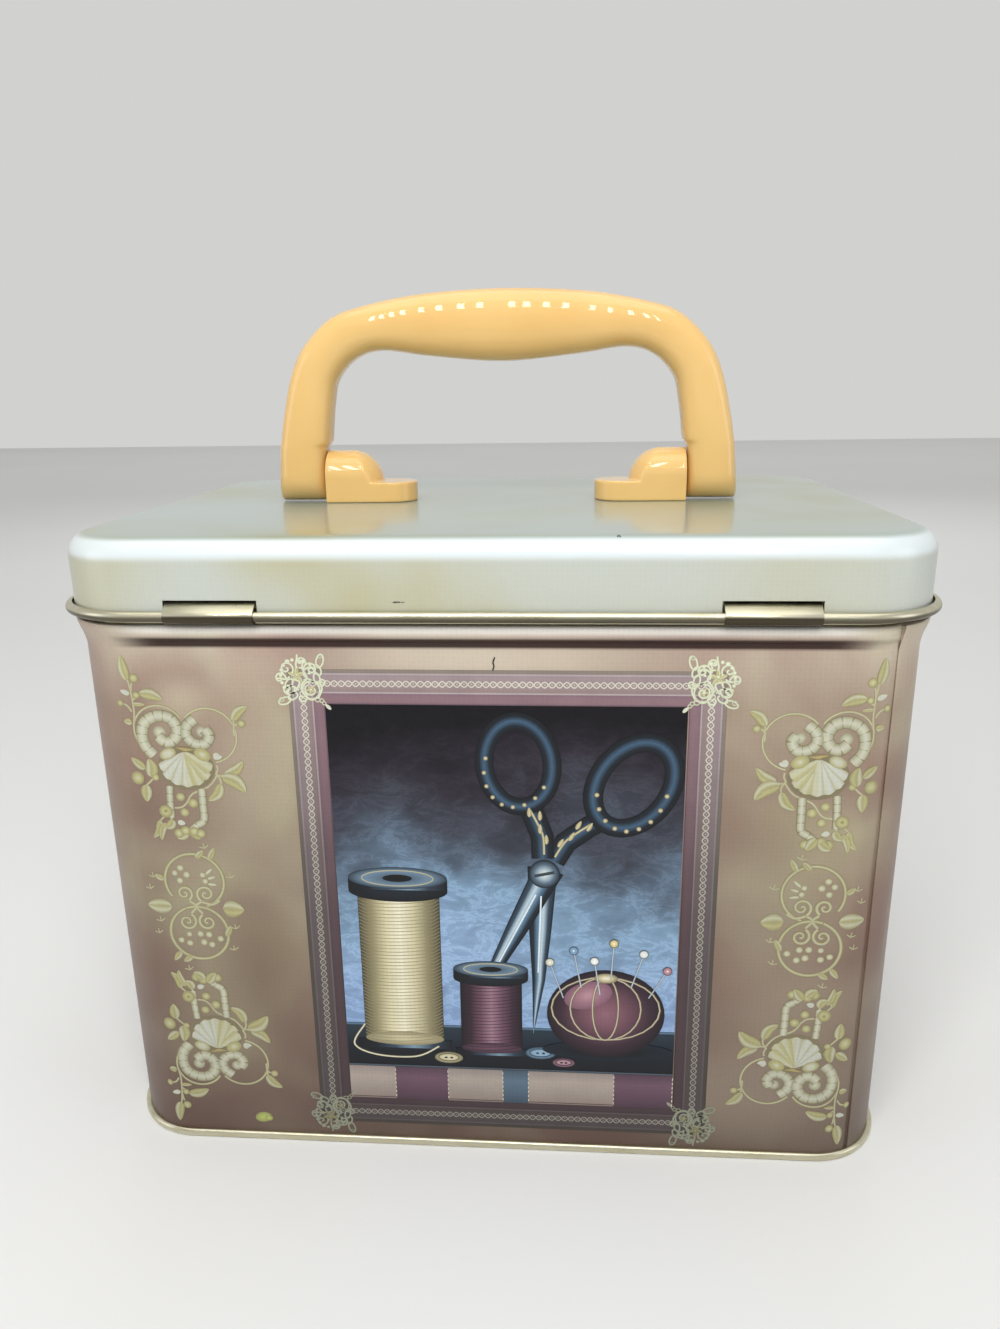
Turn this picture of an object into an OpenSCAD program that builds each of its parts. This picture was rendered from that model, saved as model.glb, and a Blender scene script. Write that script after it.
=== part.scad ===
// Hinged sewing tin with a folding carry handle, drawn at full size in millimetres.
// The hinge side faces -Y, the clasp side faces +Y, and the box stands on Z = 0.

/* [Box] */
// Outer width of the box wall
box_w = 196.8; // [170:0.2:240]
// Outer depth of the box wall
box_d = 137.8; // [110:0.2:180]
// Corner radius of the box wall, seen from above
box_r = 18; // [14:0.5:26]
// Thickness of the tinplate of box, base and lid
sheet = 0.35; // [0.25:0.05:0.45]
// Height of the top of the swelled shoulder, just under the lid
shoulder_z = 139.8; // [110:0.2:180]
// Height of the swelled shoulder
shoulder_h = 5.5; // [4.5:0.1:7]
// How far the shoulder stands out from the wall
shoulder_out = 1.65; // [1:0.05:2]
// Height of the neck that stands up inside the lid
neck_h = 9.6; // [8.5:0.1:12]
// Radius of the curled edge on top of the neck
neck_curl_r = 0.9; // [0.7:0.05:1.2]
// Width of the lapped side seam, measured round the corner
seam_w = 7; // [5:0.5:9]

/* [Base] */
// Height of the folded rim under the box
rim_h = 2.1; // [1.8:0.1:3]
// How far the folded rim stands out from the wall
rim_out = 1.25; // [1:0.05:1.8]
// Height of the base panel above the surface that the tin stands on
panel_z = 1.9; // [1.2:0.1:3]
// Thickness of the fold under the wall
fold_t = 0.45; // [0.35:0.05:0.6]

/* [Lid] */
// Room between the neck and the inside of the lid
lid_room = 1.25; // [1:0.05:2]
// Height of the lid above the axis of its curled edge
lid_rise = 17.2; // [15:0.2:25]
// Radius of the rounded edge on top of the lid
lid_edge_r = 5.3; // [3:0.1:8]
// Outer radius of the curled edge, which is the hinge's pin
curl_r = 1.22; // [1:0.02:1.5]
// Gap between the curled edge and the shoulder under it
curl_gap = 0.83; // [0.75:0.01:1.5]

/* [Hinges and clasp] */
// Distance between the middles of the two hinges
hinge_span = 122.6; // [90:0.2:140]
// Width of each hinge strap
hinge_w = 20.4; // [14:0.2:26]
// Thickness of the strip that hinges and clasp are folded from
strip_t = 0.35; // [0.3:0.05:0.4]
// Height of the windows in the lid wall, above the curl's axis
window_h = 3.5; // [3.3:0.1:4.5]
// Room beside a strap in its window, on each side
window_side = 0.45; // [0.3:0.05:1]
// Length of a hinge's tail inside the neck
tail_h = 4.2; // [3:0.2:4.6]
// Width of the clasp leaf
clasp_w = 16; // [12:0.5:22]
// Length of the clasp leaf below the curl's axis
clasp_len = 29.4; // [27.5:0.2:34]
// Gap between the hanging leaf and the wall
clasp_gap = 1.4; // [1.2:0.1:2]
// Depth of the catch's nose below the curl's axis, to its underside
nose_drop = 22.6; // [21:0.1:23.5]
// Height of the catch's nose
nose_h = 5.2; // [4:0.1:5.6]
// Width of the catch's nose
nose_w = 7; // [5:0.5:9]
// How far the nose stands out from the wall
nose_out = 3.2; // [3:0.05:3.4]
// Distance between the two rivets of the catch
rivet_span = 23; // [22:0.5:30]
// Radius of a rivet's shank
rivet_r = 1.2; // [0.8:0.1:1.5]
// Angle at which the released leaf hangs off its catch, in degrees
clasp_ajar = 6; // [6:0.5:7]

/* [Handle] */
// Height of the handle's crown above the lid
handle_h = 55.8; // [50:0.2:70]
// Height of the grip's underside above the lid, at the middle
grip_under = 37.2; // [34:0.2:38]
// Width over the handle's arms at their lower ends
handle_w = 128; // [124:0.2:140]
// Distance between the outer faces of the two feet
foot_span = 99.4; // [90:0.2:104]
// Half thickness of the arms, front to back
arm_half = 6.7; // [5.5:0.1:6.7]
// Half thickness of the grip at its middle, front to back
grip_half = 7.3; // [6:0.1:7.5]
// Place of the handle from front to back, from the middle of the lid
handle_y = 0; // [-10:0.5:10]
// Length of each foot
foot_len = 24.8; // [22:0.2:28]
// Half width of each foot, which is also the height of its pivot
foot_half = 7; // [7:0.1:8]
// Thickness of a foot's flange
flange_t = 5.5; // [4.8:0.1:6]
// Radius of the domed inner end of a foot's boss
dome_r = 9.2; // [9:0.1:10]
// Radius of a pivot pin
pin_r = 2; // [1.5:0.1:2.4]
// Length of a pivot pin inside its foot
pin_in_foot = 5.2; // [4:0.1:6]
// Length of a pivot pin inside the arm
pin_in_arm = 8.4; // [5:0.1:10]

/* [Foot screws] */
// Radius of a screw's shank
screw_r = 1.5; // [1.2:0.05:1.7]
// Radius of a screw's head
head_r = 2.9; // [2.6:0.1:3.4]
// Height of a screw's head
head_h = 1.8; // [1.4:0.1:2.4]
// Depth to which a screw enters its foot
bite = 3.8; // [3:0.1:4]
// Distance of the inner screw from the foot's inner end
screw_in = 6.8; // [6:0.1:8]
// Distance between a foot's two screws
screw_pitch = 9; // [8:0.1:11]
// Outer radius of a washer
washer_r = 4; // [3.6:0.1:4]
// Thickness of a washer
washer_t = 0.6; // [0.4:0.1:1]

/* [Clearances] */
// Radial running clearance of hinge straps and clasp round the curl
roll_clear = 0.06; // [0.04:0.01:0.08]
// Radial running clearance of a pin in its arm
pin_clear = 0.05; // [0.02:0.01:0.08]
// Clearance between pieces that are fixed together
seat_clear = 0.03; // [0.01:0.01:0.05]
// Gap between an arm and its foot, and between an arm and the lid
arm_gap = 0.3; // [0.2:0.05:0.5]

/* [Hidden] */
$fn = 64;

tin_gold = [0.80, 0.74, 0.55];
print_rose = [0.66, 0.54, 0.50];
print_ivory = [0.90, 0.89, 0.80];
peach = [0.93, 0.78, 0.51];
steel = [0.72, 0.72, 0.72];

// Steps of arc in a folded edge, in degrees
fold_step = 15;
// Small overlap that carries a cut clean through a face
poke = 1;

lid_w = box_w + 2 * (lid_room + sheet);
lid_d = box_d + 2 * (lid_room + sheet);
lid_r = box_r + lid_room + sheet;
curl_z = shoulder_z + curl_gap + curl_r;
// The curl touches the plane of the lid wall's inner face, so its axis lies outside the wall
curl_y = lid_d / 2 - sheet + curl_r;
lid_z = curl_z + lid_rise;
neck_z = shoulder_z + neck_h;
roll_r = curl_r + roll_clear;
pivot_z = lid_z + foot_half;
foot_x = foot_span / 2;
screw_x = [foot_x - foot_len + screw_in, foot_x - foot_len + screw_in + screw_pitch];
arm_x = foot_x + arm_gap;

// Points of an arc about a centre, from angle a to angle b
function arc(c, r, a, b, step = fold_step) =
    let (n = max(2, round(abs(b - a) / step)))
    [for (i = [0:n]) c + r * [cos(a + (b - a) * i / n), sin(a + (b - a) * i / n)]];

// Left-hand normal of the stretch between two points
function left(a, b) = [a.y - b.y, b.x - a.x] / norm(b - a);

// The same path, moved sideways by t to its left, with mitred corners
function shifted(p, t) = [
    for (i = [0:len(p) - 1])
        let (
            before = left(p[max(i - 1, 0)], p[max(i, 1)]),
            after = left(p[min(i, len(p) - 2)], p[min(i + 1, len(p) - 1)])
        )
        p[i] + (before + after) * t / (1 + before * after)];

function reversed(p) = [for (i = [len(p) - 1:-1:0]) p[i]];

// A path drawn from the wall's face, measured from the corner's centre instead
function from_centre(path, r) = [for (p = path) [p.x + r, p.y]];

// A strip of sheet folded along a path, with its thickness to the left
module folded(path, t) {
    polygon(concat(path, reversed(shifted(path, t))));
}

// A roll of sheet of thickness t and outer radius r about c, from angle a to a larger angle b
module rolled(c, r, t, a, b) {
    reach = 2 * r;
    open = 360 - (b - a);
    translate(c) difference() {
        circle(r);
        circle(r - t);
        polygon(concat([[0, 0]], [for (k = [0:4]) reach * [cos(b + open * k / 4), sin(b + open * k / 4)]]));
    }
}

// Carries an outline, drawn from the corner's centre, round a rounded rectangle
module around(w, d, r) {
    for (k = [0:3]) {
        reach = k % 2 == 0 ? w : d;
        run = k % 2 == 0 ? d : w;
        rotate(90 * k) translate([reach / 2 - r, 0, 0]) {
            rotate([90, 0, 0]) linear_extrude(run - 2 * r, center = true) children();
            translate([0, run / 2 - r, 0]) rotate_extrude(angle = 90) children();
        }
    }
}

// A folded strip of the given width, drawn with x outwards and y up, on the -Y side of the tin
module strip_at_back(width) {
    rotate([90, 0, -90]) linear_extrude(width, center = true) children();
}

// Places at which the two hinges stand
module at_hinge(side) {
    translate([side * hinge_span / 2, 0, 0]) children();
}

// Box wall: one wrap of tinplate with its shoulder, neck and curled top
// Share of the shoulder's height that lies above its crest
crest_share = 0.27;
rise_z = shoulder_z - shoulder_h;
crest_z = shoulder_z - shoulder_h * crest_share;
shoulder_path = concat(
    [for (i = [0:8]) [
        shoulder_out * (1 - cos(180 * i / 8)) / 2,
        rise_z + (crest_z - rise_z) * i / 8]],
    [for (i = [1:5]) [
        shoulder_out * cos(90 * i / 5),
        crest_z + (shoulder_z - crest_z) * sin(90 * i / 5)]]);
neck_curl_c = [-neck_curl_r, neck_z - neck_curl_r];
wall_path = concat([[0, fold_t]], shoulder_path, [[0, neck_curl_c.y]]);

module wall_outline() {
    translate([box_r, 0]) {
        folded(wall_path, sheet);
        rolled(neck_curl_c, neck_curl_r, sheet, 0, 285);
    }
}

// Drop from the top of a window to the hinge's tail in it, and the height of the tail's lower face
slit_drop = 0.25;
slit_z = curl_z + window_h - slit_drop;

module neck_slit(side) {
    at_hinge(side) translate([
        -hinge_w / 2 - seat_clear,
        -box_d / 2 - poke,
        slit_z - seat_clear])
        cube([hinge_w + 2 * seat_clear, sheet + 2 * poke, strip_t + 2 * seat_clear]);
}

// The lap lies on the corner at +X, -Y, and starts seam_start degrees round it
seam_start = 30;
seam_angle = seam_w / (box_r + sheet) * 180 / PI;
seam_gap = 0.3;
seam_foot = rim_h + seam_gap;

module side_seam() {
    translate([box_w / 2 - box_r, -box_d / 2 + box_r, seam_foot])
        rotate(-90 + seam_start)
        rotate_extrude(angle = seam_angle)
        translate([box_r - sheet / 2, 0]) square([1.5 * sheet, rise_z - seam_foot]);
}

catch_z = curl_z - nose_drop + nose_h / 2;

module catch_hole(side) {
    translate([side * rivet_span / 2, box_d / 2, catch_z])
        rotate([90, 0, 0]) cylinder(r = rivet_r + seat_clear, h = 4 * poke, center = true);
}

module box_wall() {
    color(print_rose) difference() {
        union() {
            around(box_w, box_d, box_r) wall_outline();
            side_seam();
        }
        neck_slit(-1);
        neck_slit(1);
        catch_hole(-1);
        catch_hole(1);
    }
}

// Base panel: set up inside the wall, and folded under and round its lower edge
rim_soft = 0.5;
leg_out = -sheet - seat_clear;
base_outline = concat(
    [[-box_r, panel_z], [leg_out - sheet, panel_z], [leg_out - sheet, 0]],
    arc([rim_out - rim_soft, rim_soft], rim_soft, -90, 0),
    arc([rim_out - rim_soft, rim_h - rim_soft], rim_soft, 0, 90),
    [
        [seat_clear, rim_h], [seat_clear, fold_t], [leg_out, fold_t],
        [leg_out, panel_z + sheet], [-box_r, panel_z + sheet]]);

module base_panel() {
    color(tin_gold) {
        around(box_w, box_d, box_r) polygon(from_centre(base_outline, box_r));
        translate([-box_w / 2 + box_r, -box_d / 2 + box_r, panel_z])
            cube([box_w - 2 * box_r, box_d - 2 * box_r, sheet]);
    }
}

// Lid: drawn in one piece, with its lower edge curled outwards
edge_c = [-lid_edge_r, lid_z - lid_edge_r];
lid_path = concat(
    [[-lid_r, edge_c.y + lid_edge_r]],
    arc(edge_c, lid_edge_r, 90, 0),
    [[0, curl_z]]);

module lid_outline() {
    polygon(from_centre(concat(lid_path, reversed(shifted(lid_path, -sheet))), lid_r));
    translate([lid_r, 0]) rolled([curl_r - sheet, curl_z], curl_r, sheet, 180, 465);
}

// A window is cut down to the curl, which stays whole as the pin of a hinge
window_reach = 0.3;

module window(width) {
    w = width + 2 * window_side;
    translate([-w / 2, -lid_d / 2 - window_reach, curl_z])
        cube([w, window_reach + sheet + poke, window_h]);
}

// Room round a screw in the lid and in its washer
screw_room = 0.2;

module screw_holes(r, z0, z1) {
    for (side = [-1, 1], x = screw_x)
        translate([side * x, handle_y, z0]) cylinder(r = r, h = z1 - z0);
}

module lid() {
    color(print_ivory) difference() {
        union() {
            around(lid_w, lid_d, lid_r) lid_outline();
            translate([-lid_w / 2 + lid_r, -lid_d / 2 + lid_r, lid_z - sheet])
                cube([lid_w - 2 * lid_r, lid_d - 2 * lid_r, sheet]);
        }
        at_hinge(-1) window(hinge_w);
        at_hinge(1) window(hinge_w);
        rotate(180) window(clasp_w);
        screw_holes(screw_r + screw_room, lid_z - sheet - poke, lid_z + poke);
    }
}

// Hinge strap: hooked through the neck, out of the window and rolled round the lid's curl
neck_face = box_d / 2 - sheet;
// How far the tail runs straight out of the neck before it slopes down to the curl
tail_out = 0.3;
slope_from = [box_d / 2 + tail_out, slit_z];
curl_c = [curl_y, curl_z];
slope_d = norm(slope_from - curl_c);
// Angle round the curl at which the sloping part of the strap meets its roll
slope_a = atan2(slope_from.y - curl_c.y, slope_from.x - curl_c.x) - acos(roll_r / slope_d);
strap_path = [
    [neck_face, slit_z - tail_h],
    [neck_face, slit_z],
    slope_from,
    curl_c + roll_r * [cos(slope_a), sin(slope_a)]];

module hinge_strap(side) {
    color(tin_gold) at_hinge(side) strip_at_back(hinge_w) {
        folded(strap_path, strip_t);
        rolled(curl_c, roll_r + strip_t, strip_t, -165, slope_a);
    }
}

// Clasp leaf: rolled round the curl on the other long side, and hanging over its catch
leaf_y = box_d / 2 + clasp_gap;
lip_h = 3;
lip_out = 1;
// Depths below the curl's axis between which the leaf steps in towards the wall
step_from = 4;
step_to = 10.5;
leaf_path = [
    [curl_y + roll_r, curl_z],
    [curl_y + roll_r, curl_z - step_from],
    [leaf_y, curl_z - step_to],
    [leaf_y, curl_z - clasp_len + lip_h],
    [leaf_y + lip_out, curl_z - clasp_len]];

module clasp_leaf() {
    slot_room = 0.5;
    color(tin_gold)
        translate([0, curl_y, curl_z]) rotate([clasp_ajar, 0, 0]) translate([0, -curl_y, -curl_z])
        difference() {
            rotate(180) strip_at_back(clasp_w) {
                folded(leaf_path, strip_t);
                rolled(curl_c, roll_r + strip_t, strip_t, 0, 240);
            }
            translate([
                -nose_w / 2 - slot_room,
                leaf_y - poke,
                curl_z - nose_drop - slot_room])
                cube([nose_w + 2 * slot_room, strip_t + 2 * poke, nose_h + 2 * slot_room]);
        }
}

// Catch: a plate riveted to the wall, with a nose that the leaf snaps over
plate_t = 0.45;
plate_margin = 3.4;
nose_soft = 0.7;
nose_outline = concat(
    [[0, curl_z - nose_drop]],
    arc([nose_out - nose_soft, curl_z - nose_drop + nose_soft], nose_soft, -90, 45),
    [[plate_t, curl_z - nose_drop + nose_h], [0, curl_z - nose_drop + nose_h]]);

module clasp_catch() {
    plate_h = 2 * plate_margin + 2 * rivet_r;
    color(tin_gold) difference() {
        union() {
            for (x = [-rivet_span / 2, rivet_span / 2])
                translate([x, box_d / 2, catch_z])
                rotate([-90, 0, 0]) cylinder(d = plate_h, h = plate_t);
            translate([-rivet_span / 2, box_d / 2, catch_z - plate_h / 2])
                cube([rivet_span, plate_t, plate_h]);
            rotate(180) strip_at_back(nose_w) translate([box_d / 2, 0]) polygon(nose_outline);
        }
        catch_hole(-1);
        catch_hole(1);
    }
}

module catch_rivet(side) {
    outer_r = 2.1 * rivet_r;
    face_r = 1.5 * rivet_r;
    inner_r = 1.8 * rivet_r;
    head_t = 0.6;
    color(steel) translate([side * rivet_span / 2, box_d / 2, catch_z]) rotate([-90, 0, 0]) {
        translate([0, 0, plate_t]) cylinder(r1 = outer_r, r2 = face_r, h = head_t);
        translate([0, 0, -sheet]) cylinder(r = rivet_r, h = sheet + plate_t);
        translate([0, 0, -sheet - head_t]) cylinder(r = inner_r, h = head_t);
    }
}

// Carry handle: sections from the middle of the grip down to the end of an arm.
// Each row is outer x, outer z, inner x, inner z, half thickness and squareness.
arm_out = handle_w / 2;
crown_z = lid_z + handle_h;
under_z = lid_z + grip_under;
// Height at which the inner faces of the arms start to lean in over the feet
shank_z = pivot_z + foot_half + 0.4;
grip_rows = [
    [0, crown_z, 0, under_z, grip_half, 2.3],
    [22.3, crown_z - 1.1, 20, under_z + 1.6, grip_half - 0.2, 2.3],
    [38.7, crown_z - 4, 33, under_z + 3.2, arm_half, 2.4],
    [47.4, crown_z - 7.2, 40.5, under_z + 1.1, arm_half - 0.2, 2.5],
    [arm_out - 9.1, crown_z - 14.4, arm_x - 4.4, under_z - 4.2, arm_half - 0.2, 2.6],
    [arm_out - 5.1, crown_z - 22.8, arm_x - 2.9, under_z - 9.6, arm_half - 0.1, 2.8],
    [arm_out - 2.6, shank_z + 8, arm_x - 2.1, shank_z + 7, arm_half, 3.2],
    [arm_out - 1.7, shank_z + 3, arm_x - 1.7, shank_z + 3, arm_half, 3.3],
    [arm_out - 1.4, shank_z + 1, arm_x - 1.3, shank_z + 1, arm_half, 3.4],
    [arm_out - 1.2, shank_z, arm_x, shank_z, arm_half, 3.4],
    [arm_out - 0.6, pivot_z, arm_x, pivot_z, arm_half, 3.4]];

// Smooth curve through the rows, with each stretch in n steps
function blend(a, b, c, d, t) =
    0.5 * (2 * b + (c - a) * t + (2 * a - 5 * b + 4 * c - d) * t * t
    + (3 * b - a - 3 * c + d) * t * t * t);
function mirrored(row) = [-row[0], row[1], -row[2], row[3], row[4], row[5]];
function smooth(rows, n) = [
    for (i = [0:len(rows) - 2], k = [0:n - 1])
        let (
            before = i == 0 ? mirrored(rows[1]) : rows[i - 1],
            after = rows[min(i + 2, len(rows) - 1)]
        )
        blend(before, rows[i], rows[i + 1], after, k / n)];

// The lower end of an arm is round about the pivot, so that it clears the lid as it folds
arm_end = [
    for (a = [0:18:72], low = arm_half * sin(a))
        [
            arm_out - 0.6 + 0.6 * low / arm_half, pivot_z - low,
            arm_x, pivot_z - low, arm_half * cos(a), 3.4]];
half_rows = concat(smooth(grip_rows, 3), arm_end);
handle_rows = concat(
    [for (i = [len(half_rows) - 1:-1:1]) mirrored(half_rows[i])],
    half_rows);

ring_n = 18;
function rounded(v, power) = sign(v) * pow(abs(v), 2 / power);
function ring(row) = [
    for (i = [0:ring_n - 1])
        let (
            mid = [row[0] + row[2], row[1] + row[3]] / 2,
            half = [row[0] - row[2], row[1] - row[3]] / 2,
            u = rounded(cos(360 * i / ring_n), row[5]),
            v = rounded(sin(360 * i / ring_n), row[5])
        )
        [mid.x + half.x * u, handle_y + row[4] * v, mid.y + half.y * u]];

module handle_skin() {
    rings = [for (row = handle_rows) ring(row)];
    last = len(rings) - 1;
    side_faces = [
        for (k = [0:last - 1], i = [0:ring_n - 1])
            let (
                j = (i + 1) % ring_n,
                a = k * ring_n + i,
                b = k * ring_n + j,
                c = (k + 1) * ring_n + j,
                d = (k + 1) * ring_n + i
            )
            each [[a, b, c], [a, c, d]]];
    ends = [
        [for (i = [ring_n - 1:-1:0]) i],
        [for (i = [0:ring_n - 1]) last * ring_n + i]];
    polyhedron([for (r = rings) each r], concat(side_faces, ends));
}

module pin_shape(r, x0, x1) {
    translate([x0, handle_y, pivot_z]) rotate([0, 90, 0]) cylinder(r = r, h = x1 - x0);
}

module carry_handle() {
    bore_end = foot_x + pin_in_arm + arm_gap;
    color(peach) difference() {
        handle_skin();
        pin_shape(pin_r + pin_clear, foot_x, bore_end);
        mirror([1, 0, 0]) pin_shape(pin_r + pin_clear, foot_x, bore_end);
    }
}

// Handle foot: a flange with a rounded end, and a boss that carries the pivot pin
module foot_shape() {
    inner_x = foot_x - foot_len;
    flange_plan = concat(
        [[foot_x, foot_half]],
        arc([inner_x + foot_half, 0], foot_half, 90, 270, 7.5),
        [[foot_x, -foot_half]]);
    boss_section = concat(
        [[-foot_half, 0]],
        arc([0, foot_half], foot_half, 180, 0, 7.5),
        [[foot_half, 0]]);
    // The domed inner end of the boss is part of a ball that is centred just under the flange's top
    dome_x = foot_x - 6.2;
    dome_z = flange_t - 0.6;
    linear_extrude(flange_t) polygon(flange_plan);
    intersection() {
        translate([foot_x, 0, 0]) rotate([90, 0, -90])
            linear_extrude(foot_len - foot_half) polygon(boss_section);
        union() {
            translate([dome_x, 0, dome_z]) sphere(r = dome_r);
            translate([dome_x, -foot_len, -poke])
                cube([foot_len, 2 * foot_len, 2 * foot_half + 2 * poke]);
        }
    }
}

module handle_foot(side) {
    tip = 0.3;
    color(peach) mirror([side < 0 ? 1 : 0, 0, 0]) difference() {
        translate([0, handle_y, lid_z]) foot_shape();
        pin_shape(pin_r + seat_clear, foot_x - pin_in_foot - tip, foot_x + poke);
        screw_holes(screw_r + seat_clear, lid_z - poke, lid_z + bite + tip);
    }
}

module pivot_pin(side) {
    color(steel) mirror([side < 0 ? 1 : 0, 0, 0])
        pin_shape(pin_r, foot_x - pin_in_foot, foot_x + pin_in_arm);
}

// Screws come up from inside the lid, each through a washer
under_lid = lid_z - sheet;

module foot_screw(side, k) {
    recess_w = 0.7;
    recess_r = 0.6 * head_r;
    recess_d = 0.6 * head_h;
    color(steel) translate([side * screw_x[k], handle_y, under_lid - washer_t]) {
        cylinder(r = screw_r, h = washer_t + sheet + bite);
        translate([0, 0, -head_h]) difference() {
            cylinder(r1 = 0.8 * head_r, r2 = head_r, h = head_h);
            for (turn = [0, 90]) rotate(turn)
                translate([-recess_r, -recess_w / 2, -poke])
                cube([2 * recess_r, recess_w, recess_d + poke]);
        }
    }
}

module washer(side, k) {
    color(steel) translate([side * screw_x[k], handle_y, under_lid - washer_t]) difference() {
        cylinder(r = washer_r, h = washer_t);
        translate([0, 0, -poke]) cylinder(r = screw_r + screw_room, h = washer_t + 2 * poke);
    }
}

box_wall();
base_panel();
lid();
hinge_strap(-1);  // hinge_strap_left
hinge_strap(1);  // hinge_strap_right
clasp_leaf();
clasp_catch();
catch_rivet(-1);  // catch_rivet_left
catch_rivet(1);  // catch_rivet_right
carry_handle();
handle_foot(-1);  // handle_foot_left
handle_foot(1);  // handle_foot_right
pivot_pin(-1);  // pivot_pin_left
pivot_pin(1);  // pivot_pin_right
foot_screw(-1, 1);  // foot_screw_left_outer
foot_screw(-1, 0);  // foot_screw_left_inner
foot_screw(1, 0);  // foot_screw_right_inner
foot_screw(1, 1);  // foot_screw_right_outer
washer(-1, 1);  // washer_left_outer
washer(-1, 0);  // washer_left_inner
washer(1, 0);  // washer_right_inner
washer(1, 1);  // washer_right_outer
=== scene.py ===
# Looks of the hinged sewing tin. Lengths are in millimetres unless a name or comment says otherwise.
import math

import bmesh
import bpy
from mathutils import Matrix, Vector


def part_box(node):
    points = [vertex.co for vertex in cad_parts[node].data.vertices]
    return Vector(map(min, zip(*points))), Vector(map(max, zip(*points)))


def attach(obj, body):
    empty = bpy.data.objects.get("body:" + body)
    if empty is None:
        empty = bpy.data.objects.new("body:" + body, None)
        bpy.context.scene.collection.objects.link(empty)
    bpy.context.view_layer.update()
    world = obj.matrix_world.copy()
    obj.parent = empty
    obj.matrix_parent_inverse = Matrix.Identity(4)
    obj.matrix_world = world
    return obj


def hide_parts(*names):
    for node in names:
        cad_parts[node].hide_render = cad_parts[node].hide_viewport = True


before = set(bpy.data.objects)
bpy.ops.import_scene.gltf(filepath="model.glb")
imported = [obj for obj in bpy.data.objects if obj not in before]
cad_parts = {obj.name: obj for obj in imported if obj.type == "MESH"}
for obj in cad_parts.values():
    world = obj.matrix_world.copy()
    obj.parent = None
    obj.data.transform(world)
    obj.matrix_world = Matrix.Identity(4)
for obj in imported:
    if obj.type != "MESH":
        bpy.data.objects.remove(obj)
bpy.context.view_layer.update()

MM = 0.001


def span(node):
    """Lowest and highest corner of a CAD node, in millimetres."""
    low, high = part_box(node)
    return low / MM, high / MM


# Sizes, taken from the CAD nodes in model.glb that show them
WALL_LOW, WALL_HIGH = span("box_wall")
LID_LOW, LID_HIGH = span("lid")
BASE_LOW, BASE_HIGH = span("base_panel")
STRAP_LOW, STRAP_HIGH = span("hinge_strap_right")
FOOT_LOW, FOOT_HIGH = span("handle_foot_right")
LEAF_LOW, LEAF_HIGH = span("clasp_leaf")
CATCH_LOW, CATCH_HIGH = span("clasp_catch")
GRIP_HIGH = span("carry_handle")[1]

SHEET = 0.35
SHOULDER_OUT = 1.65
BOX_W = WALL_HIGH.x - WALL_LOW.x - 2 * SHOULDER_OUT
BOX_D = WALL_HIGH.y - WALL_LOW.y - 2 * SHOULDER_OUT
BOX_R = 18.0
WALL_Z = WALL_LOW.z
NECK_Z = WALL_HIGH.z
NECK_CURL_R = 0.9
CURL_R = 1.22
CURL_OUT = 2 * CURL_R - SHEET
LID_W = LID_HIGH.x - LID_LOW.x - 2 * CURL_OUT
LID_D = LID_HIGH.y - LID_LOW.y - 2 * CURL_OUT
LID_R = BOX_R + (LID_W - BOX_W) / 2
LID_Z = LID_HIGH.z
LID_EDGE_R = 5.3
CURL_Z = LID_LOW.z + CURL_R
CURL_Y = LID_D / 2 - SHEET + CURL_R
HINGE_X = (STRAP_LOW.x + STRAP_HIGH.x) / 2
HINGE_W = STRAP_HIGH.x - STRAP_LOW.x
CLASP_W = LEAF_HIGH.x - LEAF_LOW.x


# Modelling helpers
DOUBLES = 0.004 * MM


def only(*objs):
    """Leave edit mode and select just these objects."""
    active = bpy.context.view_layer.objects.active
    if active and active.mode == "EDIT":
        bpy.ops.object.mode_set(mode="OBJECT")
    bpy.ops.object.select_all(action="DESELECT")
    for obj in objs:
        obj.select_set(True)
        bpy.context.view_layer.objects.active = obj


def edit(obj):
    """Open one object in edit mode, with all of it selected."""
    only(obj)
    bpy.ops.object.mode_set(mode="EDIT")
    bpy.ops.mesh.select_all(action="SELECT")


def started(name):
    """The new primitive, under its own name."""
    obj = bpy.context.object
    obj.name = name
    obj.data.name = name
    return obj


def trace(name, points):
    """A chain of edges, made from one vertex that is extruded from point to point."""
    only()
    bpy.ops.mesh.primitive_plane_add(size=MM)
    obj = started(name)
    bpy.ops.object.mode_set(mode="EDIT")
    bpy.ops.mesh.merge(type="CENTER")
    bpy.ops.transform.translate(value=Vector(points[0]) * MM)
    for a, b in zip(points, points[1:]):
        step = (Vector(b) - Vector(a)) * MM
        bpy.ops.mesh.extrude_vertices_move(TRANSFORM_OT_translate={"value": step})
    return obj


def close_up(obj, fill=True):
    """Merge doubles, fill what is open and turn all faces outwards."""
    edit(obj)
    bpy.ops.mesh.remove_doubles(threshold=DOUBLES)
    if fill:
        bpy.ops.mesh.fill_holes(sides=0)
    bpy.ops.mesh.select_all(action="SELECT")
    bpy.ops.mesh.normals_make_consistent(inside=False)
    bpy.ops.object.mode_set(mode="OBJECT")


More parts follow.
